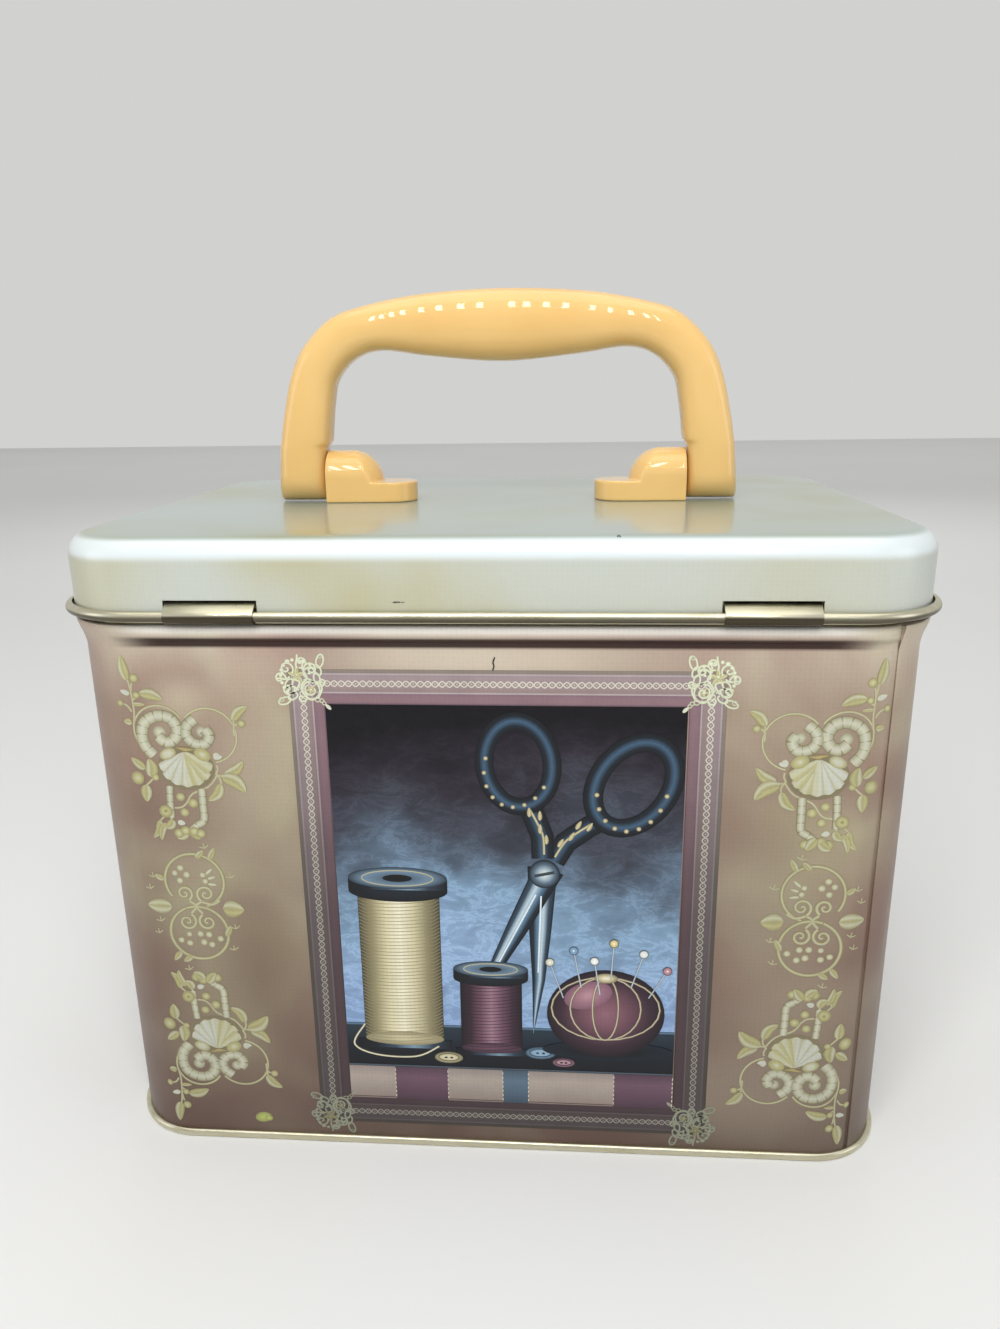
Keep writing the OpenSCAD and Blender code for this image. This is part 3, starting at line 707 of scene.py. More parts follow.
def build_lid():
    # Drawn from one sheet, with a rounded top edge and its lower edge curled outwards
    outer = [(-LID_R, LID_Z)] + arc(-LID_EDGE_R, LID_Z - LID_EDGE_R, LID_EDGE_R, 90, 0, 12)
    roll = CURL_R - SHEET
    curled = arc(roll, CURL_Z, roll, 180, 465, 22)
    back = arc(roll, CURL_Z, CURL_R, 465, 180, 22)
    inner = arc(-LID_EDGE_R, LID_Z - LID_EDGE_R, LID_EDGE_R - SHEET, 0, 90, 12) + [(-LID_R, LID_Z - SHEET)]
    lid = sweep_round("printed_lid", outer + curled + back + inner, LID_W, LID_D, LID_R, [4.5] * 20)
    close_up(lid)
    window_h, side_room, screw_hole_r = 3.5, 0.45, 1.7
    openings = [(-HINGE_X, HINGE_W, -1), (HINGE_X, HINGE_W, -1), (0, CLASP_W, 1)]
    for x, width, side in openings:
        half = width / 2 + side_room
        near, far = sorted((side * (LID_D / 2 + 0.3), side * (LID_D / 2 - 1.5)))
        carved(lid, block((x - half, near, CURL_Z), (x + half, far, CURL_Z + window_h)))
    for hand in ("left", "right"):
        for place in ("inner", "outer"):
            low, high = span("foot_screw_%s_%s" % (hand, place))
            centre = ((low.x + high.x) / 2, (low.y + high.y) / 2, LID_Z)
            carved(lid, cylinder(centre, screw_hole_r, 4, "z", 32))
    painted(lid, IVORY, GOLD)
    for face in lid.data.polygons:
        c = face.center / MM
        bare_curl = c.z < CURL_Z + CURL_R + 0.1 and (
            abs(c.x) > LID_W / 2 + 0.02 or abs(c.y) > LID_D / 2 + 0.02
            or c.z < CURL_Z or corner_out(c) > 0.02)
        face.material_index = 1 if bare_curl or is_lid_inside(c, face.normal) else 0
    # Painted shade on the lower half of the curl
    shaded(lid, "painted_shade", curl_shade)
    smooth_by(lid, 40)
    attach(lid, "lid")
    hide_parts("lid")


def curl_shade(p):
    """Painted shade: share of the dark paint on the lower half of the curl, standing in for its dark
    reflection.
    """
    return 0.85 * ease((CURL_Z + 0.4 - p.z) / 0.55) if corner_out(p) > 0.05 else 0.0


def corner_out(c):
    """How far a point lies outside the lid wall's outer face."""
    qx, qy = abs(c.x) - LID_W / 2 + LID_R, abs(c.y) - LID_D / 2 + LID_R
    if qx > 0 and qy > 0:
        return math.hypot(qx, qy) - LID_R
    return max(qx, qy) - LID_R


def is_lid_inside(c, normal):
    """True for the faces that look into the lid."""
    return normal.z < -0.01 if c.z > LID_Z - LID_EDGE_R else corner_out(c) < -SHEET + 0.05


# Handle and its feet: glossy moulded plastic
FOOT_X = FOOT_HIGH.x
FOOT_LEN = FOOT_HIGH.x - FOOT_LOW.x
FOOT_HALF = FOOT_HIGH.y
PIVOT_Z = LID_Z + FOOT_HALF
ARM_X = FOOT_X + 0.3
ARM_OUT = GRIP_HIGH.x
ARM_HALF = 6.7
ARM_POWER = 3.4
PIVOT_R = 2.05
CROWN_Z = GRIP_HIGH.z
UNDER_Z = LID_Z + 37.2
SHANK_Z = PIVOT_Z + FOOT_HALF + 0.4

# Sections from the middle of the grip down to the pivot.
# Each row is outer x, outer z, inner x, inner z, half thickness and squareness.
GRIP_ROWS = [
    (0, CROWN_Z, 0, UNDER_Z, 7.3, 2.3),
    (22.3, CROWN_Z - 1.1, 20, UNDER_Z + 1.6, 7.1, 2.3),
    (38.7, CROWN_Z - 4, 33, UNDER_Z + 3.2, 6.7, 2.4),
    (47.4, CROWN_Z - 7.2, 40.5, UNDER_Z + 1.1, 6.5, 2.5),
    (ARM_OUT - 9.1, CROWN_Z - 14.4, ARM_X - 4.4, UNDER_Z - 4.2, 6.5, 2.6),
    (ARM_OUT - 5.1, CROWN_Z - 22.8, ARM_X - 2.9, UNDER_Z - 9.6, 6.6, 2.8),
    (ARM_OUT - 2.6, SHANK_Z + 8, ARM_X - 1.9, SHANK_Z + 7, 6.7, 3.2),
    (ARM_OUT - 1.8, SHANK_Z + 3.6, ARM_X - 1.5, SHANK_Z + 3.6, 6.7, 3.3),
    (ARM_OUT - 1.5, SHANK_Z + 1.8, ARM_X - 1.1, SHANK_Z + 1.8, 6.7, 3.4),
    (ARM_OUT - 1.2, SHANK_Z - 0.2, ARM_X - 0.1, SHANK_Z - 0.2, 6.7, 3.4),
    (ARM_OUT - 0.6, PIVOT_Z, ARM_X, PIVOT_Z, 6.7, 3.4)]


def between(a, b, c, d, t):
    """Point at t on a smooth curve from b to c, with a before and d after them."""
    return tuple(
        0.5 * (2 * q + (r - p) * t + (2 * p - 5 * q + 4 * r - s) * t * t + (3 * q - p - 3 * r + s) * t ** 3)
        for p, q, r, s in zip(a, b, c, d))


def mirrored(row):
    """The same section on the other half of the handle."""
    return (-row[0], row[1], -row[2]) + tuple(row[3:])


def grip_ring(row):
    """Rounded section of the handle: a superellipse between its outer and inner point."""
    outer_x, outer_z, inner_x, inner_z, half, power = row
    ring, count = [], 48
    for k in range(count):
        t = 2 * math.pi * k / count
        u = math.copysign(abs(math.cos(t)) ** (2 / power), math.cos(t))
        v = math.copysign(abs(math.sin(t)) ** (2 / power), math.sin(t))
        x = (outer_x + inner_x) / 2 + (outer_x - inner_x) / 2 * u
        z = (outer_z + inner_z) / 2 + (outer_z - inner_z) / 2 * u
        ring.append((x, half * v, z))
    return ring


def build_handle():
    # One half is drawn from the middle of the grip down to the pivot, then mirrored
    half_rows = []
    for k in range(len(GRIP_ROWS) - 1):
        before = mirrored(GRIP_ROWS[1]) if k == 0 else GRIP_ROWS[k - 1]
        after = GRIP_ROWS[min(k + 2, len(GRIP_ROWS) - 1)]
        for step in range(6):
            half_rows.append(between(before, GRIP_ROWS[k], GRIP_ROWS[k + 1], after, step / 6))
    # Below the pivot the arm's end is rounded
    for degrees in (0, 10, 20, 30, 40, 50, 58, 66, 73, 79, 84, 87.5):
        low = math.sin(math.radians(degrees))
        half_rows.append((
            ARM_OUT - 0.6 + 0.6 * low - 0.5 * low ** 8, PIVOT_Z - ARM_HALF * low,
            ARM_X + 0.4 * low ** 8, PIVOT_Z - ARM_HALF * low,
            ARM_HALF * math.cos(math.radians(degrees)), ARM_POWER))
    rows = [mirrored(row) for row in half_rows[:0:-1]] + half_rows
    handle = skin("moulded_carry_handle", [grip_ring(row) for row in rows])
    for side in (-1, 1):
        carved(handle, cylinder((side * (FOOT_X + 4.5), 0, PIVOT_Z), PIVOT_R, 9, "x"))
    painted(handle, PEACH)
    smooth_by(handle, 35)
    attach(handle, "handle")
    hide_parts("carry_handle")


def build_foot(side, node):
    # A flange with a rounded end, and a boss whose inner end is part of a ball
    flange_t, dome_r, boss_len = 5.5, 9.2, FOOT_LEN - FOOT_HALF
    inner = FOOT_X - FOOT_LEN
    plan = [(FOOT_X, FOOT_HALF)] + arc(inner + FOOT_HALF, 0, FOOT_HALF, 90, 270, 40) + [(FOOT_X, -FOOT_HALF)]
    foot = prism("moulded_" + node, [(x, y, LID_Z) for x, y in plan], (0, 0, flange_t))
    section = [(-FOOT_HALF, LID_Z)] + arc(0, PIVOT_Z, FOOT_HALF, 180, 0, 48) + [(FOOT_HALF, LID_Z)]
    boss = prism("boss", [(FOOT_X, y, z) for y, z in section], (-boss_len, 0, 0))
    only()
    dome = Vector((FOOT_X - 6.2, 0, LID_Z + flange_t - 0.6))
    bpy.ops.mesh.primitive_uv_sphere_add(segments=96, ring_count=64, radius=dome_r * MM, location=dome * MM)
    ball = started("ball")
    bpy.ops.object.transform_apply(location=True, rotation=True, scale=True)
    carved(ball, block((dome.x, -20, LID_Z - 5), (FOOT_X + 5, 20, PIVOT_Z + 20)), "UNION")
    carved(boss, ball, "INTERSECT")
    carved(foot, boss, "UNION")
    carved(foot, cylinder((FOOT_X - 2.5, 0, PIVOT_Z), PIVOT_R - 0.02, 6, "x"))
    softened(foot, 0.2, 26)
    if side < 0:
        foot.data.transform(Matrix.Scale(-1, 4, (1, 0, 0)))
        foot.data.flip_normals()
    painted(foot, PEACH)
    smooth_by(foot, 60)
    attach(foot, "lid")
    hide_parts(node)


# Hinge straps and clasp, folded from narrow strip
STRIP_T = 0.35
ROLL_R = CURL_R + 0.06


def build_strap(side, node):
    # A tail inside the neck, a step out through the wall's slit, and a roll round the lid's curl
    tail_h, slit_z = 4.2, STRAP_HIGH.z - STRIP_T
    neck_face = BOX_D / 2 - SHEET
    start = (BOX_D / 2 + 0.3, slit_z)
    dx, dz = start[0] - CURL_Y, start[1] - CURL_Z
    meet = math.degrees(math.atan2(dz, dx) - math.acos(ROLL_R / math.hypot(dx, dz)))
    path = [(neck_face, slit_z - tail_h), (neck_face, slit_z), start]
    path += arc(CURL_Y, CURL_Z, ROLL_R, meet, -165, 30)
    loop = folded(path, STRIP_T)[:-1]
    left = side * HINGE_X - HINGE_W / 2
    strap = prism("folded_" + node, [(left, -out, z) for out, z in loop], (HINGE_W, 0, 0))
    bevelled(strap, 0.07)
    # Painted shade: the strap is painted dark below the curl, standing in for a dark reflection, and a
    # little darker inside the box
    shaded(strap, "painted_shade", lambda p: 0.95 * ease((CURL_Z + 0.75 - p.z) / 0.6) if p.y < -BOX_D / 2 else 0.3)
    painted(strap, GOLD)
    smooth_by(strap, 40)
    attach(strap, "box")
    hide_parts(node)


CATCH_Z = (CATCH_LOW.z + CATCH_HIGH.z) / 2
NOSE_OUT = CATCH_HIGH.y - BOX_D / 2


def build_clasp_leaf():
    # Rolled round the lid's curl at its top, with a window for the catch and a lip to lift it by
    leaf_y, depth, lip_h, lip_out, ajar = BOX_D / 2 + 1.4, 29.4, 3.0, 1.0, math.radians(6)
    path = arc(CURL_Y, CURL_Z, ROLL_R, 240, 0, 26) + [
        (CURL_Y + ROLL_R, CURL_Z - 4), (leaf_y, CURL_Z - 10.5),
        (leaf_y, CURL_Z - depth + lip_h), (leaf_y + lip_out, CURL_Z - depth)]
    loop = folded(path, STRIP_T)[:-1]
    half = CLASP_W / 2
    leaf = prism("folded_clasp_leaf", [(-half, y, z) for y, z in loop], (CLASP_W, 0, 0))
    for side in (-1, 1):
        bevel_at(leaf, lambda v: v.z < CURL_Z - depth + 0.6 and side * v.x > half - 0.01, 2.4, 6)
    window_x, window_z = 4, 3.1
    carved(leaf, block(
        (-window_x, leaf_y - 1, CATCH_Z - window_z), (window_x, leaf_y + 1.5, CATCH_Z + window_z)))
    bevelled(leaf, 0.07)
    tilt = Matrix.Rotation(ajar, 4, "X")
    pivot = Matrix.Translation(Vector((0, CURL_Y, CURL_Z)) * MM)
    leaf.data.transform(pivot @ tilt @ pivot.inverted())
    painted(leaf, GOLD)
    smooth_by(leaf, 40)
    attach(leaf, "clasp")
    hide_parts("clasp_leaf")


def build_clasp_catch():
    # A plate with round ends and a nose, held by two rivets
    plate_t, nose_w, nose_h, soft, rivet_hole_r = 0.45, 7.0, 5.2, 0.7, 1.23
    face_y = BOX_D / 2
    r = (CATCH_HIGH.z - CATCH_LOW.z) / 2
    x = CATCH_HIGH.x - r
    plan = arc(x, CATCH_Z, r, 90, -90, 20) + arc(-x, CATCH_Z, r, 270, 90, 20)
    catch = prism("riveted_clasp_catch", [(px, face_y, pz) for px, pz in plan], (0, plate_t, 0))
    foot_z = CATCH_Z - nose_h / 2
    nose = [(0.0, foot_z)] + arc(NOSE_OUT - soft, foot_z + soft, soft, -90, 45, 10)
    nose += [(plate_t, foot_z + nose_h), (0.0, foot_z + nose_h)]
    nose = prism("nose", [(-nose_w / 2, face_y + out, z) for out, z in nose], (nose_w, 0, 0))
    carved(catch, nose, "UNION")
    bevelled(catch, 0.12)
    for side in (-1, 1):
        carved(catch, cylinder((side * x, face_y, CATCH_Z), rivet_hole_r, 4, "y"))
    painted(catch, GOLD)
    smooth_by(catch, 40)
    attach(catch, "box")
    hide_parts("clasp_catch")


build_box_wall()
build_side_seam()
build_base()
build_lid()
build_handle()
build_foot(-1, "handle_foot_left")
build_foot(1, "handle_foot_right")
build_strap(-1, "hinge_strap_left")
build_strap(1, "hinge_strap_right")
build_clasp_leaf()
build_clasp_catch()

# The CAD's own pins, screws, washers and rivets are shown as they are
for name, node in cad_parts.items():
    if any(word in name for word in ("screw", "washer", "pin", "rivet")):
        painted(node, ZINC)


# Printed artwork: films of ink, drawn flat as distance along the wall and height, then wrapped round it.
# Distance 0 is the middle of the hinge side, and it grows to the right as seen from outside.
FLAT_X = BOX_W / 2 - BOX_R
FLAT_Y = BOX_D / 2 - BOX_R
BEND = math.pi / 2 * BOX_R
TO_END = FLAT_X + BEND + FLAT_Y
TO_CLASP = 2 * TO_END
# Height of the first film over the wall, of each level over the one below and of each new film over
# the last, so that no two lie at one height; the films' rims are sunk into the wall
FILM_T, LEVEL_T, STAGGER, STAGGERED = 0.025, 0.016, 0.0006, 24
INSIDE = -0.05

LINE, GLOW, CREAM, WHITE, RIB, HALO = "#A0986F", "#C3BE88", "#CFCEAF", "#D3D5C8", "#AFA878", "#918567"
VEIN = [RIB, CREAM, RIB]
PALE_LEAF = (CREAM, WHITE, WHITE, WHITE, CREAM)
CELL_INKS = ("#A6A384", "#C7C6AA", "#D6D6C2", "#CCCBB0", "#A6A384")
STITCH = ["#CFC6B2", "#CFC6B2"]
PLUM_CLOTH = ["#4B3643", "#5D4553", "#6A505E", "#4F3A47"]
SLATE_CLOTH = ["#3C4C5A", "#4F6273", "#5C7184", "#43535F"]


def on_wall(along, lift, z):
    """Point at a distance along the wall, lifted off its outer face."""
    along %= 4 * (FLAT_X + FLAT_Y + BEND)
    heading = 0.0
    point = Vector((0.0, -BOX_D / 2))
    for run in (FLAT_X, 2 * FLAT_Y, 2 * FLAT_X, 2 * FLAT_Y, FLAT_X):
        ahead = Vector((math.cos(heading), math.sin(heading)))
        out = Vector((ahead.y, -ahead.x))
        if along <= run:
            place = point + ahead * along + out * lift
            return place.x, place.y, z
        along -= run
        centre = point + ahead * run - out * BOX_R
        if along <= BEND:
            turned = heading + along / BOX_R
            return (
                centre.x + math.sin(turned) * (BOX_R + lift),
                centre.y - math.cos(turned) * (BOX_R + lift), z)
        along -= BEND
        heading += math.pi / 2
        point = centre + ahead * BOX_R
    return point.x, point.y, z


def curve(points, steps=6):
    """A smooth curve through flat points."""
    ends = [points[0]] + list(points) + [points[-1]]
    path = [between(*ends[k:k + 4], s / steps) for k in range(len(points) - 1) for s in range(steps)]
    return path + [tuple(points[-1])]


def evenly(path, count):
    """Points at even distances along a path."""
    lengths = [0.0]
    for a, b in zip(path, path[1:]):
        lengths.append(lengths[-1] + math.dist(a, b))
    picked, k = [], 0
    for i in range(count + 1):
        goal = lengths[-1] * i / count
        while k < len(path) - 2 and lengths[k + 1] < goal:
            k += 1
        t = (goal - lengths[k]) / max(lengths[k + 1] - lengths[k], 1e-9)
        picked.append(tuple(a + (b - a) * t for a, b in zip(path[k], path[k + 1])))
    return picked


def pointed(width):
    """Width of a leaf: nothing at both ends, and widest at 0.42 of its length."""
    power = math.log(0.5) / math.log(0.42)
    return lambda t: max(0.05, width * math.sin(math.pi * t ** power) ** 0.8)


def rounded_ends(width, power=5):
    """Width of a stroke with rounded ends; a higher power makes them squarer."""
    return lambda t: max(0.05, width * (1 - abs(2 * t - 1) ** power) ** 0.5)


def oval(x, z, rx, rz, turn, sides):
    """Points round an oval that is turned by an angle in degrees."""
    turn, points = math.radians(turn), []
    for k in range(sides):
        t = 2 * math.pi * k / sides
        u, v = rx * math.cos(t), rz * math.sin(t)
        points.append((
            x + u * math.cos(turn) - v * math.sin(turn), z + u * math.sin(turn) + v * math.cos(turn)))
    return points


class Print:
    """The films of ink of one print."""

    def __init__(self, name, along=0.0):
        self.name = name
        self.along = along
        self.points = []
        self.inks = []
        self.faces = []
        self.level = 0
        self.count = 0
        self.plain()

    def plain(self):
        """Draw in place and in full tone."""
        self.view = lambda x, z: (x, z)
        self.tone = lambda z: 1.0

    def lift(self):
        """Height of the next film; later films and higher levels lie on top."""
        self.count += 1
        return FILM_T + LEVEL_T * self.level + STAGGER * (self.count % STAGGERED)

    def add(self, flat, lift, ink):
        """A point of a film, with its ink toned for its height on the wall; gives back its number."""
        x, z = self.view(*flat)
        self.points.append(Vector(on_wall(self.along + x, lift, z)) * MM)
        self.inks.extend([c * self.tone(z) for c in linear(ink)[:3]] + [1.0])
        return len(self.points) - 1

    def ribbon(self, path, width, inks, closed=False):
        """A stroke along a path. Width is a number or a function of the way along it; inks run across."""
        lift, count, rings = self.lift(), len(path), []
        for i, p in enumerate(path):
            a = path[i - 1] if i or closed else p
            b = path[(i + 1) % count] if i + 1 < count or closed else p
            sides = [Vector((u[1] - v[1], v[0] - u[0])).normalized() for u, v in ((a, p), (p, b)) if u != v]
            across = (sides[0] + sides[-1]) / max(0.35, 1 + sides[0].dot(sides[-1]))
            half = (width(i / (count - 1)) if callable(width) else width) / 2
            row = [
                (p[0] + across.x * half * u, p[1] + across.y * half * u)
                for u in (2 * k / (len(inks) - 1) - 1 for k in range(len(inks)))]
            ring = [self.add(row[0], INSIDE, inks[0])]
            ring += [self.add(flat, lift, ink) for flat, ink in zip(row, inks)]
            rings.append(ring + [self.add(row[-1], INSIDE, inks[-1])])
        pairs = list(zip(rings, rings[1:])) + ([(rings[-1], rings[0])] if closed else [])
        for first, second in pairs:
            for k in range(len(first)):
                j = (k + 1) % len(first)
                self.faces.append((first[k], first[j], second[j], second[k]))
        if not closed:
            self.faces.extend([tuple(rings[0]), tuple(rings[-1])])

    def disc(self, x, z, rx, rz, inks, turn=0.0, sides=20):
        """A round or oval spot; inks run from its middle to its rim."""
        lift, last = self.lift(), len(inks) - 1
        hub = self.add((x, z), lift, inks[0])
        steps = [(k / last, ink, lift) for k, ink in enumerate(inks) if k] + [(1, inks[-1], INSIDE)]
        rings = [
            [self.add(flat, height, ink) for flat in oval(x, z, rx * share, rz * share, turn, sides)]
            for share, ink, height in steps]
        for k in range(sides):
            j = (k + 1) % sides
            self.faces.append((hub, rings[0][k], rings[0][j]))
            for inner, outer in zip(rings, rings[1:]):
                self.faces.append((inner[k], outer[k], outer[j], inner[j]))
        self.faces.append(tuple(rings[-1]))

    def loop(self, x, z, rx, rz, width, inks, turn=0.0, sides=18):
        """A closed oval line."""
        self.ribbon(oval(x, z, rx, rz, turn, sides), width, inks, closed=True)

    def leaf(self, base, tip, width, bend=0.0, inks=(LINE, GLOW, RIB, CREAM, LINE)):
        """A pointed leaf with a darker midrib, bent to its left."""
        dx, dz = tip[0] - base[0], tip[1] - base[1]
        middle = ((base[0] + tip[0]) / 2 - dz * bend, (base[1] + tip[1]) / 2 + dx * bend)
        self.ribbon(curve([base, middle, tip], 5), pointed(width), inks)

    def berry(self, x, z, r, inks=(CREAM, GLOW, LINE)):
        """A small round spot."""
        self.disc(x, z, r, r, inks, sides=14)

    def cells(self, points, width, count):
        """A band of separate cells, on a darker band that shows between them."""
        path = evenly(curve(points), count * 6)
        self.ribbon(path, width + 0.4, [HALO, LINE, HALO])
        self.level += 1
        for k in range(count):
            piece = evenly(path[k * 6:k * 6 + 7], 16)
            self.ribbon(piece, rounded_ends(width, 14), CELL_INKS)
        self.level -= 1

    def made(self):
        """Turn the films into one mesh."""
        mesh = bpy.data.meshes.new(self.name)
        mesh.from_pydata(self.points, [], self.faces)
        colours = mesh.color_attributes.new("ink", "FLOAT_COLOR", "POINT")
        colours.data.foreach_set("color", self.inks)
        obj = bpy.data.objects.new(self.name, mesh)
        bpy.context.scene.collection.objects.link(obj)
        edit(obj)
        bpy.ops.mesh.normals_make_consistent(inside=False)
        bpy.ops.object.mode_set(mode="OBJECT")
        painted(obj, INK)
        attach(obj, "box")
        return obj


def spiral(x, z, r, start, turns, steps=26):
    """A spiral from its outer end, at an angle in degrees, in to its middle."""
    path = []
    for k in range(steps + 1):
        t = k / steps
        angle = math.radians(start + 360 * turns * t)
        reach = r * (1 - t) ** 0.8
        path.append((x + reach * math.cos(angle), z + reach * math.sin(angle)))
    return path


def draw_scroll_ornament(p):
    """Shell between two segmented scrolls, with sprigs, as at the top of the left column."""
    thin = [HALO, GLOW, CREAM, HALO]
    p.level = 0
    for x, z, r, a, b in ((-76.9, 114.1, 6.1, 32, 253), (-65.4, 112.9, 6.7, 139, -79)):
        p.ribbon(arc(x, z, r, a, b, 36), 0.62, thin)
    p.cells([
        (-78.8, 107.8), (-80.7, 110.2), (-81.2, 112.9), (-80.2, 116.0), (-77.1, 117.7), (-74.0, 117.0),
        (-72.6, 114.3), (-73.6, 111.9), (-75.7, 111.2), (-77.4, 112.6)], 2.7, 13)
    p.cells([
        (-68.2, 117.0), (-70.2, 115.3), (-70.6, 112.9), (-68.9, 111.0), (-66.4, 110.9), (-65.1, 112.9),
        (-66.1, 114.5)], 2.5, 8)
    for x, z, r in ((-76.9, 113.7, 1.5), (-66.9, 113.9, 1.35)):
        p.berry(x, z, r, CELL_INKS[2::-1])
    p.level = 1
    stems = [
        [(-83.1, 126.4), (-82.6, 123.2), (-82.4, 118.5), (-83.0, 115.0)], [(-82.6, 123.4), (-82.2, 125.6)],
        [(-82.5, 121.5), (-80.6, 122.6)], [(-83.0, 118.6), (-84.0, 120.0), (-85.6, 120.5)],
        [(-59.1, 113.0), (-58.9, 115.4), (-57.4, 116.0)], [(-59.2, 113.4), (-59.0, 116.8)],
        [(-64.0, 105.6), (-63.9, 104.4), (-64.4, 103.3), (-63.2, 102.9), (-62.0, 103.4)],
        [(-64.3, 103.4), (-63.5, 102.0), (-63.5, 100.8)],
        [(-64.0, 103.3), (-66.4, 100.2), (-70.6, 98.2), (-72.3, 95.8), (-74.0, 94.6), (-77.2, 94.6)],
        [(-79.8, 106.8), (-80.2, 104.8), (-79.4, 102.6), (-81.6, 100.2)],
        [(-76.2, 92.0), (-77.8, 89.6)], [(-77.4, 93.0), (-79.2, 91.2)]]
    for stem in stems:
        p.ribbon(curve(stem, 4), 0.5, VEIN)
    p.cells([(-76.0, 100.2), (-76.3, 96.0), (-76.4, 91.9)], 1.6, 4)
    p.cells([(-68.3, 99.6), (-68.4, 95.2), (-68.6, 91.4), (-70.4, 90.0), (-71.8, 88.6)], 1.75, 6)
    p.level = 2
    p.disc(-71.5, 104.7, 6.9, 5.6, ["#8D8263", "#81765D", "#8F8467"], sides=30)
    p.level = 3
    lobes = 7
    # The shell's lobes fan out from above, the left ones in a brighter light
    for k in range(lobes):
        angle = math.radians(188 + 164 * k / (lobes - 1))
        end = (-71.5 + 6.1 * math.cos(angle), 105.0 + 5.1 * math.sin(angle))
        left = 1 - k / (lobes - 1)
        body = ["#BCB793", WHITE if left > 0.45 else GLOW, WHITE if left > 0.6 else CREAM, CREAM, "#BCB793"]
        path = curve([(-71.3, 108.6), ((-71.3 + end[0]) / 2, (108.6 + end[1]) / 2), end], 6)
        p.ribbon(path, lambda t: 0.6 + 2.9 * t ** 0.8 * (1 - t ** 14) ** 0.5, body)
    p.level = 4
    p.disc(-75.5, 108.3, 2.1, 1.35, [WHITE, CREAM, RIB], turn=25)
    p.disc(-67.2, 108.2, 2.1, 1.5, [WHITE, GLOW, RIB], turn=-28)
    bar = [(-73.5, 109.9), (-71.3, 109.4), (-69.0, 109.5)]
    p.ribbon(bar, rounded_ends(1.0), ["#A2925F", "#C6B57C", "#A2925F"])
    p.disc(-63.9, 107.8, 0.8, 0.9, [WHITE, WHITE, CREAM])
    p.leaf((-64.4, 107.4), (-62.5, 107.8), 1.2, inks=PALE_LEAF)
    leaves = [
        ((-83.2, 126.2), (-84.2, 132.2), 2.3, 0.05), ((-80.6, 123.1), (-75.2, 121.6), 2.3, 0.1),
        ((-82.4, 120.5), (-79.6, 120.4), 0.9, 0.0), ((-83.2, 116.0), (-85.4, 116.1), 1.5, 0.0),
        ((-59.2, 116.6), (-55.4, 120.2), 2.1, 0.12), ((-62.3, 103.3), (-57.6, 106.7), 2.2, -0.12),
        ((-63.1, 102.6), (-57.6, 98.8), 3.0, 0.14), ((-63.6, 100.9), (-66.9, 96.5), 2.2, 0.16),
        ((-81.4, 104.4), (-84.7, 107.0), 1.9, 0.0), ((-80.2, 102.4), (-80.3, 107.0), 2.6, -0.1),
        ((-79.4, 91.3), (-81.4, 86.6), 1.7, 0.15), ((-77.9, 90.6), (-79.4, 86.0), 1.6, -0.1),
        ((-76.2, 91.4), (-78.2, 89.3), 2.0, 0.2), ((-72.2, 89.4), (-70.0, 86.4), 2.2, 0.0),
        ((-73.0, 88.6), (-75.6, 86.6), 2.2, 0.1)]
    for base, tip, width, bend in leaves:
        p.leaf(base, tip, width * 1.2, bend)
    for base, tip, width in (((-83.0, 122.9), (-85.4, 123.6), 1.3), ((-75.0, 90.9), (-73.2, 90.4), 1.4)):
        p.leaf(base, tip, width, inks=PALE_LEAF)
    p.leaf((-81.7, 100.4), (-81.9, 96.0), 2.9)
    berries = [
        (-81.5, 126.8, 1.0), (-81.4, 122.7, 0.8), (-85.8, 120.5, 0.78), (-57.2, 116.0, 0.85),
        (-83.6, 102.0, 1.55), (-79.1, 102.3, 0.8), (-73.6, 97.4, 1.0), (-70.7, 95.8, 1.1),
        (-73.0, 93.4, 1.0), (-75.0, 87.9, 1.1), (-73.3, 88.6, 1.1), (-71.2, 88.4, 1.1),
        (-69.6, 87.9, 1.05), (-77.6, 93.6, 1.5)]
    for x, z, r in berries:
        p.berry(x, z, r * 1.12)
    p.level = 5
    p.disc(-77.6, 93.7, 0.55, 0.55, ["#9A9160", "#A79F6C", GLOW])


